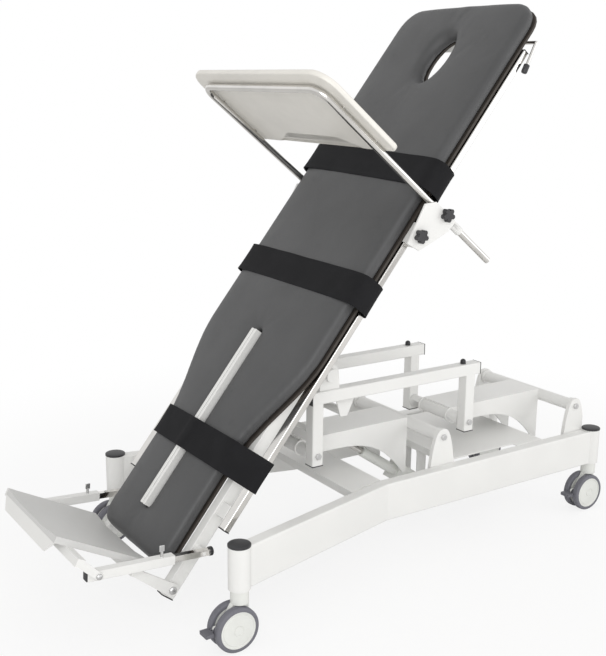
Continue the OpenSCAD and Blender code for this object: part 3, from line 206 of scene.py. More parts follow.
def webbingFinish(name, tone):
    f = Finish(name)
    own = f.node("ShaderNodeUVMap", {"uv_map": "cloth"})
    along, across = f.part(own, 0), f.part(own, 1)
    ribStep, yarnStep = 0.0028, 0.0022
    rib = (along * (2 * math.pi / ribStep)).sine() * 0.5 + 0.5
    yarn = (across * (2 * math.pi / yarnStep)).sine() * 0.5 + 0.5
    weave = rib * (0.45 + yarn * 0.55)
    fuzz = f.noise(900.0, 3.0)
    faded = f.noise(20.0, 3.0).rise(0.4, 0.7)
    pale = tuple(min(1, c * 2.0 + 0.004) for c in tone)
    return f.set(Base_Color=f.blend(weave * 0.45 + fuzz * 0.25 + faded * 0.2, tone, pale),
                 Roughness=0.72 + fuzz * 0.15, Normal=f.bump(weave + fuzz * 0.4, 0.00035, 0.6),
                 Specular_IOR_Level=0.2)


def woodFinish(name, tone):
    f = Finish(name)
    grain = f.noise(60.0, 5.0, 0.6, stretch=(0.12, 1, 1))
    return f.set(Base_Color=f.blend(grain, tone, shaded(tone, 0.6)), Roughness=0.6 + grain * 0.2,
                 Normal=f.bump(grain, 0.0003, 0.4))


def tyreFinish(name, tone):
    f = Finish(name)
    grit = f.noise(500.0, 4.0, 0.6)
    scuff = f.noise(38.0, 5.0, 0.7).rise(0.5, 0.72)
    return f.set(Base_Color=f.blend(grit * 0.4 + scuff * 0.5, tone, shaded(tone, 0.62)),
                 Roughness=0.55 + grit * 0.2, Normal=f.bump(grit + scuff, 0.0003, 0.5))


finishes = {
    "white_paint": paintFinish("whitePaint", (0.80, 0.80, 0.785)),
    "plate_grey": paintFinish("plateGrey", (0.62, 0.62, 0.61), 0.42),
    "chrome": chromeFinish("chrome", (0.74, 0.725, 0.70)),
    "steel": steelFinish("zincedSteel", (0.70, 0.70, 0.70)),
    "black_plastic": plasticFinish("blackPlastic", (0.020, 0.020, 0.022), 0.42, mottle=1.5),
    "hub_white": plasticFinish("hubWhite", (0.74, 0.75, 0.72), 0.34, mottle=0.94),
    "tyre": tyreFinish("tyreGrey", (0.165, 0.165, 0.19)),
    "pedal_grey": plasticFinish("pedalGrey", (0.14, 0.14, 0.16), 0.5),
    "vinyl": vinylFinish("greyVinyl", (0.068, 0.069, 0.071)),
    "board": woodFinish("darkBoard", (0.06, 0.05, 0.042)),
    "webbing": webbingFinish("blackWebbing", (0.006, 0.006, 0.007)),
    "tray_cream": plasticFinish("creamTray", (0.80, 0.78, 0.73), 0.30, grain=200.0, mottle=0.96),
}
print("finishes made")


# The table's own frame: s along the mattress, y across it, n above its edge
tableSet = {"tilt": 51.2, "pivot": (-0.296, 0.611), "pivotS": 0.705, "pivotN": 0.192}
tiltTurn = math.radians(tableSet["tilt"])
alongTable = np.array((math.cos(tiltTurn), 0, math.sin(tiltTurn)))
acrossTable = np.array((0.0, 1, 0))
offTable = np.array((-math.sin(tiltTurn), 0, math.cos(tiltTurn)))
tableStart = (np.array((tableSet["pivot"][0], 0, tableSet["pivot"][1]))
              - tableSet["pivotS"] * alongTable + tableSet["pivotN"] * offTable)


def onTable(points):
    points = np.asarray(points, float)
    s, y, n = points[..., :1], points[..., 1:2], points[..., 2:]
    return tableStart + s * alongTable + y * acrossTable + n * offTable


# Meshes from arrays
def addMesh(name, points, faces):
    mesh = bpy.data.meshes.new(name)
    corners = np.asarray(points, float).reshape(-1, 3).tolist()
    mesh.from_pydata(corners, [], [list(map(int, f)) for f in faces])
    mesh.update()
    mesh.shade_smooth()
    return placed(name, mesh)


# Quads of a grid of rows by columns, closed round its columns
def gridFaces(rows, cols):
    r = np.arange(rows - 1)[:, None]
    c = np.arange(cols)[None, :]
    d = (c + 1) % cols
    a, b = r * cols + c, r * cols + d
    return np.stack([a, b, b + cols, a + cols], -1).reshape(-1, 4).tolist()


# The same with one face over each end
def cappedFaces(rows, cols):
    last = (rows - 1) * cols
    return gridFaces(rows, cols) + [list(range(cols))[::-1], list(range(last, last + cols))]


def joined(*shapes):
    points, faces, first = [], [], 0
    for p, f in shapes:
        points.append(np.asarray(p).reshape(-1, 3))
        faces += [[k + first for k in face] for face in f]
        first += len(points[-1])
    return np.concatenate(points), faces


# Rectangle with round corners, as a loop that turns left
def roundedBox(width, height, radius, steps=5):
    turn = np.linspace(0, math.pi / 2, steps)
    loop = []
    for k, (sx, sy) in enumerate(((1, 1), (-1, 1), (-1, -1), (1, -1))):
        a = turn + k * math.pi / 2
        loop.append(np.stack([sx * (width / 2 - radius) + radius * np.cos(a),
                              sy * (height / 2 - radius) + radius * np.sin(a)], 1))
    return np.concatenate(loop)


# Radius in mm of the ring that stands for a point on the axis of a turned shape
onAxis = 0.001


# Profile of radius and height turned about an axis: centre + h * axis + r * (cos a * side + sin a * other)
def turned(profile, centre, axis, steps):
    axis = np.asarray(axis, float) / np.linalg.norm(axis)
    side = np.cross(axis, (0.0, 0, 1) if abs(axis[2]) < 0.9 else (1.0, 0, 0))
    side /= np.linalg.norm(side)
    other = np.cross(axis, side)
    a = np.linspace(0, 2 * math.pi, steps, endpoint=False)
    ring = np.cos(a)[:, None] * side + np.sin(a)[:, None] * other
    profile = np.asarray(profile, float)
    points = np.asarray(centre) + profile[:, None, 1:] * axis + profile[:, None, :1] * ring[None]
    return points.reshape(-1, 3), gridFaces(len(profile), steps)


# Merge distances in metres: the wider one closes the rings on the axis of a turned shape
axisMerge, fineMerge = 3e-6, 1e-7


def tidyMesh(obj, merge, angle=40):
    bm = bmesh.new()
    bm.from_mesh(obj.data)
    bmesh.ops.remove_doubles(bm, verts=bm.verts, dist=merge)
    loose = [v for v in bm.verts if not v.link_faces]
    bmesh.ops.delete(bm, geom=loose, context="VERTS")
    bmesh.ops.recalc_face_normals(bm, faces=bm.faces)
    bm.to_mesh(obj.data)
    bm.free()
    obj.data.shade_smooth()
    obj.data.set_sharp_from_angle(angle=math.radians(angle))


# Flat faces keep flat shading beside their rounded edges
def evenShade(obj):
    even = obj.modifiers.new("flats", "WEIGHTED_NORMAL")
    even.mode, even.weight, even.keep_sharp = "FACE_AREA", 100, True


def keep(obj, body, slotName, *nodes):
    obj.data.materials.clear()
    obj.data.materials.append(finishes[slotName])
    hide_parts(*nodes)
    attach(obj, body)
    return obj


slotOf = {part["node"]: part["material_slot"] for part in frame["record"]["subparts"]}
bodyOf = {node: body for body, nodes in frame["record"]["behaviour"]["bodies"].items() for node in nodes}


# A copy of a CAD node's mesh with its doubled corners joined
def weldedCopy(node):
    bm = bmesh.new()
    bm.from_mesh(frame["nodes"][node].data)
    bmesh.ops.remove_doubles(bm, verts=bm.verts, dist=2e-6)
    return bm


# How edges are found and rounded: angles in degrees, the shortest rounded edge in mm
edgeSet = {"flat": 0.6, "sharp": 32, "shortest": 7.0, "segments": 2}


# A CAD node's own shape with its long sharp edges rounded, as bent sheet and tube have
def dressed(node, width, look):
    bm = weldedCopy(node)
    sharp = math.radians(look["sharp"])
    bmesh.ops.dissolve_limit(bm, angle_limit=math.radians(look["flat"]), verts=bm.verts, edges=bm.edges)
    weight = bm.edges.layers.float.new("bevel_weight_edge")
    for edge in bm.edges:
        if len(edge.link_faces) == 2 and edge.calc_face_angle(0) > sharp:
            edge[weight] = 1.0 if edge.calc_length() > look["shortest"] * mm else 0.0
    mesh = bpy.data.meshes.new(node + "_shape")
    bm.to_mesh(mesh)
    bm.free()
    mesh.shade_smooth()
    mesh.set_sharp_from_angle(angle=sharp)
    obj = placed(node + "_shape", mesh)
    if width:
        soft = obj.modifiers.new("edges", "BEVEL")
        soft.limit_method, soft.width, soft.segments = "WEIGHT", width * mm, look["segments"]
        soft.use_clamp_overlap, soft.harden_normals = True, False
    evenShade(obj)
    return keep(obj, bodyOf[node], slotOf[node], node)


# Width in mm of each node's rounded edges, 0 for shapes that are round already
dressSet = {
    "base_posts": 0, "post_caps": 0, "base_crossbeam": 2,
    "base_deck": 2, "pivot_ears": 1.5, "ear_bolts": 0.8, "control_box": 2,
    "lift_arm_foot": 1.5, "lift_arm_head": 1.5, "lift_motor": 1.5, "lift_rod": 0,
    "carriage_crossbars": 1.5, "carriage_plugs": 0.8,
    "carriage_bolts": 0.8, "tilt_bearings": 1.5, "tilt_motor": 1.5, "tilt_rod": 0,
    "side_tubes": 2, "table_crossbars": 1.5, "pivot_tube": 1, "mattress_board": 1, "leg_divider": 1.5,
    "rail_mounts": 1.5, "rail_caps": 0.8, "tray_clamps": 1.2, "tray_frame": 0,
    "arm_knob_near": 1.5, "arm_knob_far": 1.5, "clamp_knob_near": 1.5, "clamp_knob_far": 1.5,
    "footplate": 1.5, "footplate_bracket": 1.2, "stay_sleeves": 2, "stay_tubes": 1.2,
    "thumb_screw_near": 0.5, "thumb_screw_far": 0.5,
}
for place in ("foot_near", "foot_far", "head_near", "head_far"):
    dressSet["caster_" + place] = 1.5
    dressSet["pedal_" + place] = 1
for node, width in dressSet.items():
    dressed(node, width, edgeSet)
print("frame dressed:", len(dressSet), "nodes")


# Bars: a rounded section carried along a line, with its ends eased
def barAlong(line, width, height, radius, up, ease=0.8):
    line = np.asarray(line, float) * mm
    ahead = np.gradient(line, axis=0)
    ahead /= np.linalg.norm(ahead, axis=1, keepdims=True)
    up = np.broadcast_to(np.asarray(up, float), line.shape)
    across = np.cross(ahead, up)
    flat = across / np.linalg.norm(across, axis=1, keepdims=True)
    places = np.concatenate([line[:1], line[:1] + ahead[:1] * ease * mm, line[1:-1],
                             line[-1:] - ahead[-1:] * ease * mm, line[-1:]])
    spread = np.concatenate([flat[:1], flat, flat[-1:]])
    rise = np.concatenate([up[:1], up, up[-1:]])
    section = roundedBox(width * mm, height * mm, radius * mm)
    points = []
    for k, place in enumerate(places):
        inset = ease * mm if k in (0, len(places) - 1) else 0
        loop = section * (1 - 2 * inset / (width * mm), 1 - 2 * inset / (height * mm))
        points.append(place + loop[:, :1] * spread[k] + loop[:, 1:] * rise[k])
    return np.concatenate(points), cappedFaces(len(places), len(section))


def barPiece(name, body, slotName, nodes, bars):
    obj = addMesh(name, *joined(*bars))
    tidyMesh(obj, fineMerge)
    evenShade(obj)
    return keep(obj, body, slotName, *nodes)


# Side rails of the base: straight, bent once, ending inside the posts
railSet = {"foot": (-743, 390), "bend": (-163, 246), "head": (743, 246), "z": 223.5,
           "width": 40, "height": 117, "radius": 5, "short": 22, "soft": 7, "straight": 60}


def makeBaseRails(look):
    foot, bend, head = (np.array(look[k], float) for k in ("foot", "bend", "head"))
    first = (bend - foot) / np.linalg.norm(bend - foot)
    second = (head - bend) / np.linalg.norm(head - bend)
    short, soft, straight = look["short"], look["soft"], look["straight"]
    flat = [foot + first * short, foot + first * straight, bend - first * straight, bend - first * soft, bend,
            bend + second * soft, bend + second * straight, head - second * straight, head - second * short]
    for side, name in ((-1, "near"), (1, "far")):
        line = [(x, side * y, look["z"]) for x, y in flat]
        barPiece("rail_" + name, "base", "white_paint", ["base_rail_" + name],
                 [barAlong(line, look["width"], look["height"], look["radius"], (0, 0, 1))])


makeBaseRails(railSet)


# Carriage: square tube frames, rails on two legs each
carriageSet = {"y": 139, "size": 38, "radius": 4, "top": 566, "legFoot": 341, "legs": (-341, 253),
               "over": 20, "into": 3}


def makeCarriage(look):
    half = look["size"] / 2
    for side, name in ((-1, "near"), (1, "far")):
        y = side * look["y"]
        ends = (look["legs"][0] - half, look["legs"][1] + half + look["over"])
        bars = [barAlong([(ends[0], y, look["top"] - half), (ends[1], y, look["top"] - half)],
                         look["size"], look["size"], look["radius"], (0, 0, 1))]
        for x in look["legs"]:
            bars.append(barAlong([(x, y, look["legFoot"]), (x, y, look["top"] - look["size"] + look["into"])],
                                 look["size"], look["size"], look["radius"], (1, 0, 0)))
        barPiece("carriage_" + name, "carriage", "white_paint", ["carriage_frame_" + name], bars)


makeCarriage(carriageSet)


# Accessory rails: chromed rectangular tube along the table
accessorySet = {"y": 278, "width": 30, "height": 20, "radius": 3.5, "n": -65, "from": 178, "to": 1780}


def makeAccessoryRails(look):
    bars = []
    for side in (-1, 1):
        line = [(s, side * look["y"], look["n"]) for s in (look["from"], look["to"])]
        points, faces = barAlong(line, look["width"], look["height"], look["radius"], (0, 0, 1))
        bars.append((onTable(points), faces))
    barPiece("accessory_bars", "table", "chrome", ["accessory_rails"], bars)


makeAccessoryRails(accessorySet)
print("rails made")


# Twin wheels: a grey tread on an off-white hub disc with a recessed ring and a cap
wheelSet = {"radius": 62.5, "width": 22, "gap": 18, "tyre": 11, "trail": 20, "axle": (6, 10), "steps": 72,
            "places": {"foot_near": (-743, -390), "foot_far": (-743, 390),
                       "head_near": (743, -246), "head_far": (743, 246)}}


def makeWheels(look):
    r, w, t = look["radius"], look["width"], look["tyre"]
    axleRadius, axleHalf = look["axle"]
    # profiles as radius and distance from the wheel's inner face
    tread = [(r - t, 0.6), (r - t, 0), (r - 4, 0), (r - 1.6, 1), (r - 0.3, 3), (r, 6), (r, w - 7),
             (r - 0.5, w - 4), (r - 2.2, w - 1.5), (r - 5, w - 0.4), (r - t + 0.4, w),
             (r - t, w - 0.6), (r - t, 0.6)]
    hub = [(onAxis, 1), (r - t - 0.2, 1), (r - t - 0.2, w - 1.4), (r - t - 1.5, w - 0.8), (r - t - 4, w - 0.8),
           (r - t - 5.2, w - 2.6), (r - t - 7.5, w - 2.8), (r - t - 9, w - 1.2), (22, w + 0.2), (15, w + 0.4),
           (14, w - 0.8), (12.6, w - 0.8), (12, w + 0.6), (7, w + 1.0), (onAxis, w + 1.1)]
    rod = [(onAxis, -axleHalf), (axleRadius, -axleHalf), (axleRadius, axleHalf), (onAxis, axleHalf)]
    for place, (x, y) in look["places"].items():
        treads, hubs = [], []
        for side in (-1, 1):
            middle = np.array((x - look["trail"], y + side * look["gap"] / 2, r)) * mm
            treads.append(turned(np.array(tread) * mm, middle, (0, side, 0), look["steps"]))
            hubs.append(turned(np.array(hub) * mm, middle, (0, side, 0), look["steps"]))
        axle = turned(np.array(rod) * mm, np.array((x - look["trail"], y, r)) * mm, (0, 1, 0), 32)
        for name, slotName, shapes in (("tread_", "tyre", treads), ("hub_", "hub_white", hubs + [axle])):
            obj = addMesh(name + place, *joined(*shapes))
            tidyMesh(obj, axisMerge)
            keep(obj, "wheel_" + place, slotName, "wheels_" + place)


makeWheels(wheelSet)
print("wheels made")


# Head lever: a rod out of the side tube, bent down to a short black grip
leverSet = {"place": (1818, -304, -68), "turn": 192, "rod": 5, "reach": 84, "length": 76,
            "grip": 9, "gripLength": 27, "into": 6, "rodSteps": 32, "gripSteps": 40}


def makeLever(look):
    turn = math.radians(look["turn"])
    along = math.cos(turn) * alongTable + math.sin(turn) * offTable
    elbow = onTable(np.array(look["place"]) * mm)
    r, reach, length = look["rod"] * mm, look["reach"] * mm, look["length"] * mm
    a = np.linspace(0, math.pi, 11)
    least = onAxis * mm
    ball = np.stack([np.maximum(r * np.sin(a), least), -r * np.cos(a)], 1)
    shapes = [turned(ball, elbow, along, look["rodSteps"])]
    for h, axis in ((reach, acrossTable), (length, along)):
        shapes.append(turned([(least, 0), (r, 0), (r, h), (least, h)], elbow, axis, look["rodSteps"]))
    rod = addMesh("lever_rod", *joined(*shapes))
    tidyMesh(rod, axisMerge)
    keep(rod, "head_lever", "chrome", "head_lever")
    g, h = look["grip"], look["gripLength"]
    profile = [(onAxis, 0), (g - 2.4, 0), (g - 0.7, 0.7), (g, 2.4), (g, h - 4), (g - 1.2, h - 1.2),
               (g - 4, h), (onAxis, h)]
    foot = elbow + along * (length - look["into"] * mm)
    grip = addMesh("lever_grip", *turned(np.array(profile) * mm, foot, along, look["gripSteps"]))
    tidyMesh(grip, axisMerge)
    keep(grip, "head_lever", "black_plastic", "head_lever")


makeLever(leverSet)
print("lever made")


# Footplate trim: steel bolt heads at toe and heel, black caps on the ends of sleeves and stays
trimSet = {"toe": (-1075.28, 235.34), "heel": (-855.68, 119.17), "stay": (-775.17, 216.12),
           "lugY": 268.5, "heelY": 230, "stayY": 250, "steps": 32,
           "toeBolt": [(onAxis, 0), (8.5, 0), (8.5, 1.5), (7, 4), (4, 5.5), (onAxis, 6)],
           "heelBolt": [(onAxis, 0), (10.8, 0), (10.8, 4.5), (9, 6.6), (5, 7.6), (onAxis, 7.8)],
           "sleeve": 24, "sleevePast": 28, "capOut": 2.4, "capIn": 0.6, "capRadius": 2.5, "capEase": 0.6,
           "tail": 18, "tailIn": 0.2, "tailCap": 12.5}


def makeFootTrim(look):
    toe, heel, stay = (np.array((look[k][0], 0, look[k][1])) for k in ("toe", "heel", "stay"))
    ahead = (stay - toe) / np.linalg.norm(stay - toe)
    up = np.array((-ahead[2], 0, ahead[0]))
    small, big = np.array(look["toeBolt"]) * mm, np.array(look["heelBolt"]) * mm
    r, steps = look["tailCap"], look["steps"]
    tail = np.array([(onAxis, 0), (r - 1, 0), (r, 1), (r, 9.5), (r - 1.2, 10.8), (onAxis, 10.8)]) * mm
    capEnds = look["sleevePast"] + look["capOut"], look["sleevePast"] - look["capIn"]
    heads, ends, tails = [], [], []
    for side in (-1, 1):
        heads.append(turned(small, (toe + (0, side * look["lugY"], 0)) * mm, (0, side, 0), steps))
        heads.append(turned(big, (heel + (0, side * look["heelY"], 0)) * mm, (0, side, 0), steps))
        out = np.array((0, side * look["stayY"], 0))
        ends.append(barAlong([toe + out - ahead * past for past in capEnds],
                             look["sleeve"], look["sleeve"], look["capRadius"], up, look["capEase"]))
        tails.append(turned(tail, (stay + out + ahead * (look["tail"] - look["tailIn"])) * mm, ahead, steps))
    for name, body, slotName, node, shapes in (
            ("foot_bolts", "foot", "steel", "footplate_bracket", heads),
            ("sleeve_ends", "stay_sleeves", "black_plastic", "stay_sleeves", ends),
            ("stay_ends", "stay_tubes", "black_plastic", "stay_tubes", tails)):
        obj = addMesh(name, *joined(*shapes))
        tidyMesh(obj, fineMerge)
        keep(obj, body, slotName, node)


makeFootTrim(trimSet)
print("foot trim made")


# Mattress: a firm upholstered pad from its own crowned solid, swollen by a short cloth run
mattressSet = {"voxel": 9, "soften": 3, "inset": 2.5, "pressure": 4.0, "quality": 4, "frames": 20, "cap": 4}
tableTurn = Matrix([[*alongTable, 0], [*acrossTable, 0], [*offTable, 0], [0, 0, 0, 1]])
tableFrame = tableTurn @ Matrix.Translation([-c for c in tableStart])


def makeMattress(look):
    bm = weldedCopy("mattress")
    bm.transform(tableFrame)  # edges then lie along the voxels
    mesh = bpy.data.meshes.new("upholstery")
    bm.to_mesh(mesh)
    bm.free()
    pad = placed("upholstery", mesh)
    bpy.context.view_layer.objects.active = pad
    pad.select_set(True)
    coarse = pad.modifiers.new("voxels", "REMESH")
    coarse.mode, coarse.voxel_size = "VOXEL", look["voxel"] * mm
    bpy.ops.object.modifier_apply(modifier=coarse.name)
    soften(pad, look["soften"])
    pad.data.transform(tableFrame.inverted())
    swell(pad, look)
    finer = pad.modifiers.new("finer", "SUBSURF")
    finer.levels = finer.render_levels = 1
    bpy.ops.object.modifier_apply(modifier=finer.name)
    pad.data.shade_smooth()
    pad.select_set(False)
    keep(pad, "table", "vinyl", "mattress")


# Every point moves halfway to the middle of its neighbours, a few times
def soften(pad, times):
    n = len(pad.data.vertices)
    place = np.empty(n * 3)
    pad.data.vertices.foreach_get("co", place)
    place = place.reshape(-1, 3)
    edges = np.empty(len(pad.data.edges) * 2, int)
    pad.data.edges.foreach_get("vertices", edges)
    a, b = edges.reshape(-1, 2).T
    count = np.bincount(a, minlength=n) + np.bincount(b, minlength=n)
    for k in range(times):
        total = np.stack([np.bincount(a, place[b, i], n) + np.bincount(b, place[a, i], n)
                          for i in range(3)], 1)
        place = 0.5 * place + 0.5 * total / count[:, None]
    pad.data.vertices.foreach_set("co", place.ravel())
    pad.data.update()


def swell(pad, look):
    n = len(pad.data.vertices)
    start = np.empty(n * 3)
    pad.data.vertices.foreach_get("co", start)
    normals = np.empty(n * 3)
    pad.data.vertex_normals.foreach_get("vector", normals)
    slim = start - normals * look["inset"] * mm
    pad.data.vertices.foreach_set("co", slim)
    cloth = pad.modifiers.new("swell", "CLOTH")
    cloth.settings.use_pressure = True
    cloth.settings.uniform_pressure_force = look["pressure"]
    cloth.settings.effector_weights.gravity = 0
    cloth.settings.quality = look["quality"]
    cloth.point_cache.frame_start, cloth.point_cache.frame_end = 1, look["frames"]
    for k in range(1, look["frames"] + 1):
        bpy.context.scene.frame_set(k)
    shaped = pad.evaluated_get(bpy.context.evaluated_depsgraph_get())
    end = np.empty(n * 3)
    shaped.data.vertices.foreach_get("co", end)
    pad.modifiers.remove(cloth)
    bpy.context.scene.frame_set(1)
    move = (end - start).reshape(-1, 3)
    length = np.linalg.norm(move, axis=1, keepdims=True)
    cap = look["cap"] * mm
    move *= np.minimum(1, cap / np.maximum(length, 1e-9))
    pad.data.vertices.foreach_set("co", (start.reshape(-1, 3) + move).ravel())
    pad.data.update()


makeMattress(mattressSet)
print("mattress made")


# Straps: a soft band carried across the pad along a smoothed line of points, in y and n
strapSet = {
    "width": 94, "thick": 3.6, "flap": 1.6, "flapFrom": 0.16, "flapTo": 0.05, "passes": 3, "step": 0.006,
    "chest": {"s": 1254, "half": 293, "slant": 12}, "hip": {"s": 865, "half": 293, "slant": 6},
    "leg": {"s": 300, "half": 197.3}, "ripple": 0.0012, "legRipple": 0.0010,
}


# A line with its corners cut a few times, then points at even steps along it
def roundedLine(points, passes, step):
    line = np.asarray(points, float)
    for k in range(passes):
        a, b = line[:-1], line[1:]
        cut = np.stack([0.75 * a + 0.25 * b, 0.25 * a + 0.75 * b], 1).reshape(-1, 2)
        line = np.concatenate([line[:1], cut, line[-1:]])
    run = np.concatenate([[0], np.cumsum(np.linalg.norm(np.diff(line, axis=0), axis=1))])
    even = np.linspace(0, run[-1], int(run[-1] / step) + 1)
    return np.stack([np.interp(even, run, line[:, 0]), np.interp(even, run, line[:, 1])], 1), even


# Band surface: point = line(t) + across the width u, with rounded edges and a faint ripple
def makeBand(name, line, even, s0, width, thick, ripple, nodes, seed, slant=0.0, flap=None):
    waves, flapRamp, slantHalf = 5, 0.004, 0.3
    ahead = np.gradient(line, axis=0)
    ahead /= np.linalg.norm(ahead, axis=1, keepdims=True)
    out = np.stack([-ahead[:, 1], ahead[:, 0]], 1)
    around = roundedBox(width, thick, thick * 0.45, 4)
    extra = np.linspace(-0.5, 0.5, 13)[1:-1] * (width - thick)
    top = np.stack([extra[::-1], np.full(len(extra), thick / 2)], 1)
    under = np.stack([extra, np.full(len(extra), -thick / 2)], 1)
    around = np.concatenate([around[:4], top, around[4:12], under, around[12:]])
    rng = np.random.default_rng(seed)
    wave = sum(np.sin(even[:, None] * rng.uniform(14, 60) + around[None, :, 0] * rng.uniform(10, 60)
                      + rng.uniform(0, 6)) for k in range(waves)) * ripple / waves
    dish = -ripple * (2 * around[None, :, 0] / width) ** 4
    lift = around[None, :, 1] + wave + dish
    if flap:  # loose end of the strap, lying on the strap itself
        edge = np.clip((even - flap[0]) / flapRamp, 0, 1) * np.clip((flap[1] - even) / flapRamp, 0, 1)
        lift = lift + flap[2] * edge[:, None] * (around[None, :, 1] > 0)
    y = line[:, None, 0] + out[:, None, 0] * lift
    n = line[:, None, 1] + out[:, None, 1] * lift
    s = s0 + width / 2 + around[None, :, 0] + slant * (y / slantHalf + 1) / 2
    points = onTable(np.stack([s, y, n], -1))
    rows, cols = y.shape
    obj = addMesh(name, points, cappedFaces(rows, cols))
    cloth = obj.data.uv_layers.new(name="cloth")
    corners = np.empty(len(obj.data.loops), int)
    obj.data.loops.foreach_get("vertex_index", corners)
    place = np.stack([even[corners // cols], around[corners % cols, 0]], 1)
    cloth.data.foreach_set("uv", place.ravel())
    tidyMesh(obj, fineMerge, 50)
    return keep(obj, "table", "webbing", *nodes)


def bodyStrapHalf(half):
    return [(0.278, -0.0778), (0.2975, -0.0774), (0.3145, -0.053), (half + 0.0225, -0.022),
            (half + 0.0110, -0.0010), (half - 0.014, 0.0050), (half * 0.7, 0.0084)]


def makeStraps(look):
    width, thick, passes, step = look["width"] * mm, look["thick"] * mm, look["passes"], look["step"]
    for key in ("chest", "hip"):
        own = look[key]
        half = bodyStrapHalf(own["half"] * mm)
        whole = half + [(-y, n) for y, n in half[::-1]]
        line, even = roundedLine(whole, passes, step)
        middle = even[-1] / 2
        flap = (middle - look["flapFrom"], middle + look["flapTo"], look["flap"] * mm)
        makeBand("band_" + key, line, even, own["s"] * mm, width, thick,
                 look["ripple"], ["strap_" + key], 3, own["slant"] * mm, flap)
    # the calf strap is written with its wide end first, and mirrored so that this end is on the near side
    w = look["leg"]["half"] * mm
    whole = [(0.278, -0.0775), (0.292, -0.0774), (0.2962, -0.0772), (0.2962, -0.072), (0.2962, -0.058),
             (0.2962, -0.0525), (0.291, -0.0496), (w + 0.014, -0.0045), (w - 0.014, 0.0075),
             (0.027, 0.0185), (0.013, 0.0235), (-0.013, 0.0235), (-0.027, 0.0185), (0.014 - w, 0.0062),
             (-w - 0.0025, -0.007), (-w - 0.0027, -0.030), (-0.2225, -0.0455), (-0.2225, -0.0925),
             (-0.19, -0.0925)]
    line, even = roundedLine([(-y, n) for y, n in whole[::-1]], passes, step)
    makeBand("band_leg", line, even, look["leg"]["s"] * mm, width, thick,
             look["legRipple"], ["strap_leg"], 5)


makeStraps(strapSet)
print("straps made")


# Tray: a moulded board with a rounded raised rim, drawn in y and n square to the mattress
traySet = {"s": 1250, "halfWidth": 353, "outer": 485, "inner": 168, "cut": 42, "corner": 65, "footCorner": 18,
           "cutFrom": 215, "cutTo": 110, "thick": 10, "rim": 6, "rimWidth": 14}


def trayLoop(look, inset):
    w, top, low = look["halfWidth"] - inset, look["outer"] - inset, look["inner"] + inset
    r = look["corner"] - inset
    a = np.radians(np.linspace(0, 90, 15))
    corner = np.stack([w - r + r * np.cos(a), top - r + r * np.sin(a)], 1)
    q = look["footCorner"]
    b = np.radians(np.linspace(-90, 0, 7))
    foot = np.stack([w - q + q * np.cos(b), low + q + q * np.sin(b)], 1)
    t = np.linspace(0, 1, 22)
    slope = t * t * (3 - 2 * t)
    cut = np.stack([look["cutTo"] + inset * 0.3 + (look["cutFrom"] - look["cutTo"]) * t,
                    low + look["cut"] * (1 - slope)], 1)
    right = np.concatenate([cut, foot, corner])
    left = right[::-1] * (-1, 1)
    return np.concatenate([right, left])


def makeTray(look):
    t, rim, width = look["thick"], look["rim"], look["rimWidth"]
    # inset of the loop and height above the underside, from the foot of the edge over the rim
    stack = [(6, 0), (1.8, 0.4), (0.4, 1.8), (0, 5), (0, t + rim - 5), (0.8, t + rim - 2), (2.6, t + rim - 0.5),
             (5, t + rim), (width - 6, t + rim), (width - 3.4, t + rim - 0.6), (width - 1.6, t + rim - 2.0),
             (width - 0.2, t + 2.6), (width + 1.4, t + 1.0), (width + 5, t)]
    rings = []
    for inset, h in stack:
        loop = trayLoop(look, inset)
        rings.append(np.concatenate([np.full((len(loop), 1), look["s"] + h), loop], 1))
    points = np.concatenate(rings)
    cols = len(rings[0])
    faces = gridFaces(len(rings), cols)
    half = cols // 2
    # flat faces, each a ladder of quads from side to side
    for first, flip in ((0, True), ((len(rings) - 1) * cols, False)):
        for k in range(half - 1):
            face = [first + k, first + k + 1, first + cols - 2 - k, first + cols - 1 - k]
            faces.append(face[::-1] if flip else face)
    obj = addMesh("tray_board", onTable(points * mm), faces)
    tidyMesh(obj, fineMerge)
    return keep(obj, "tray", "tray_cream", "tray_panel")


makeTray(traySet)
print("tray made")


# Floor, backdrop and light
studioSet = {"ambient": 0.75, "softTone": (1, 0.99, 0.975, 1), "aim": (0, 0, 0.6),
             "lamps": {"key": {"place": (-2.4, -3.4, 2.0), "size": 2.6, "power": 64},
                       "fill": {"place": (2.8, -3.0, 1.6), "size": 2.4, "power": 30}},
             "floor": 0.86, "floorHalf": 14, "glow": 0.82, "fadeFrom": 1.0, "fadeTo": 2.3}
white = (1, 1, 1, 1)


# Nodes by name and the links between them; settings of a node are its attributes, numbered ones its inputs
def wire(tree, nodes, links):
    tree.nodes.clear()
    made = {}
    for name, (kind, settings) in nodes.items():
        made[name] = tree.nodes.new("ShaderNode" + kind)
        for key, value in settings.items():
            if isinstance(key, int):
                made[name].inputs[key].default_value = value
            else:
                setattr(made[name], key, value)
    for source, output, target, socket in links:
        tree.links.new(made[source].outputs[output], made[target].inputs[socket])


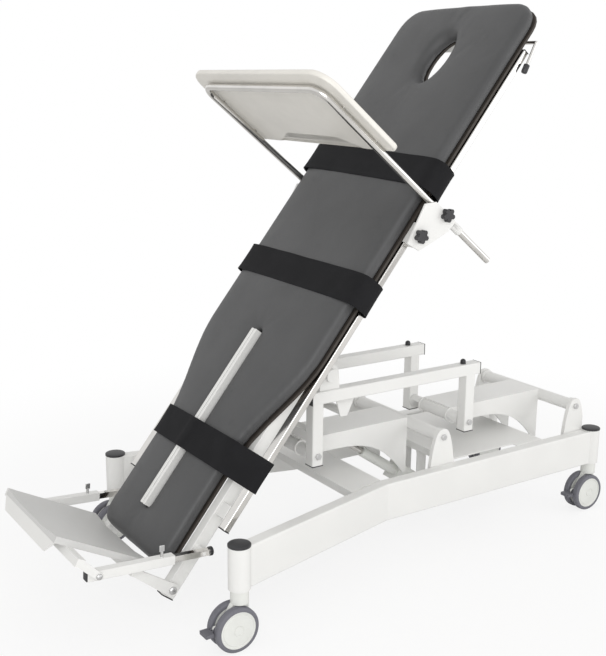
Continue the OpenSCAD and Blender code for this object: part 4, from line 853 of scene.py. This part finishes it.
# The backdrop is plain white to the camera and in reflections, and softer as light
def makeWorld(look):
    world = bpy.data.worlds.new("studio")
    bpy.context.scene.world = world
    world.use_nodes = True
    wire(world.node_tree,
         {"output": ("OutputWorld", {}), "mix": ("MixShader", {}),
          "soft": ("Background", {0: look["softTone"], 1: look["ambient"]}),
          "plain": ("Background", {0: white, 1: 1.0}),
          "path": ("LightPath", {}),
          "first": ("Math", {"operation": "MAXIMUM"}), "second": ("Math", {"operation": "MAXIMUM"})},
         [("path", "Is Camera Ray", "first", 0), ("path", "Is Glossy Ray", "first", 1),
          ("first", 0, "second", 0), ("path", "Is Transmission Ray", "second", 1),
          ("second", 0, "mix", 0), ("soft", 0, "mix", 1), ("plain", 0, "mix", 2), ("mix", 0, "output", 0)])


def makeLamps(look):
    for name, own in look["lamps"].items():
        data = bpy.data.lights.new(name, "AREA")
        data.shape, data.size, data.energy = "SQUARE", own["size"], own["power"]
        lamp = placed(name, data)
        lamp.location = own["place"]
        aim = Vector(look["aim"]) - Vector(own["place"])
        lamp.rotation_euler = aim.to_track_quat("-Z", "Y").to_euler()


# The floor fades to the backdrop's white away from the table, to the camera only
def makeFloor(look):
    h = look["floorHalf"]
    mesh = bpy.data.meshes.new("floor")
    mesh.from_pydata([(-h, -h, 0), (h, -h, 0), (h, h, 0), (-h, h, 0)], [], [(0, 1, 2, 3)])
    floor = placed("floor", mesh)
    pale = bpy.data.materials.new("paleFloor")
    pale.use_nodes = True
    wire(pale.node_tree,
         {"output": ("OutputMaterial", {}), "mix": ("MixShader", {}),
          "matt": ("BsdfDiffuse", {0: (look["floor"],) * 3 + (1,)}),
          "glow": ("Emission", {0: white, 1: 1.0}),
          "path": ("LightPath", {}), "share": ("Math", {"operation": "MULTIPLY"}),
          "coords": ("TexCoord", {}), "far": ("VectorMath", {"operation": "LENGTH"}),
          "fade": ("MapRange", {"interpolation_type": "SMOOTHSTEP", 1: look["fadeFrom"], 2: look["fadeTo"],
                                3: look["glow"], 4: 1.0})},
         [("coords", "Object", "far", 0), ("far", "Value", "fade", 0), ("fade", 0, "share", 1),
          ("path", "Is Camera Ray", "share", 0), ("share", 0, "mix", 0),
          ("matt", 0, "mix", 1), ("glow", 0, "mix", 2), ("mix", 0, "output", 0)])
    mesh.materials.append(pale)


makeWorld(studioSet)
makeLamps(studioSet)
makeFloor(studioSet)
bpy.context.scene.view_settings.view_transform = "Standard"
print("studio made")
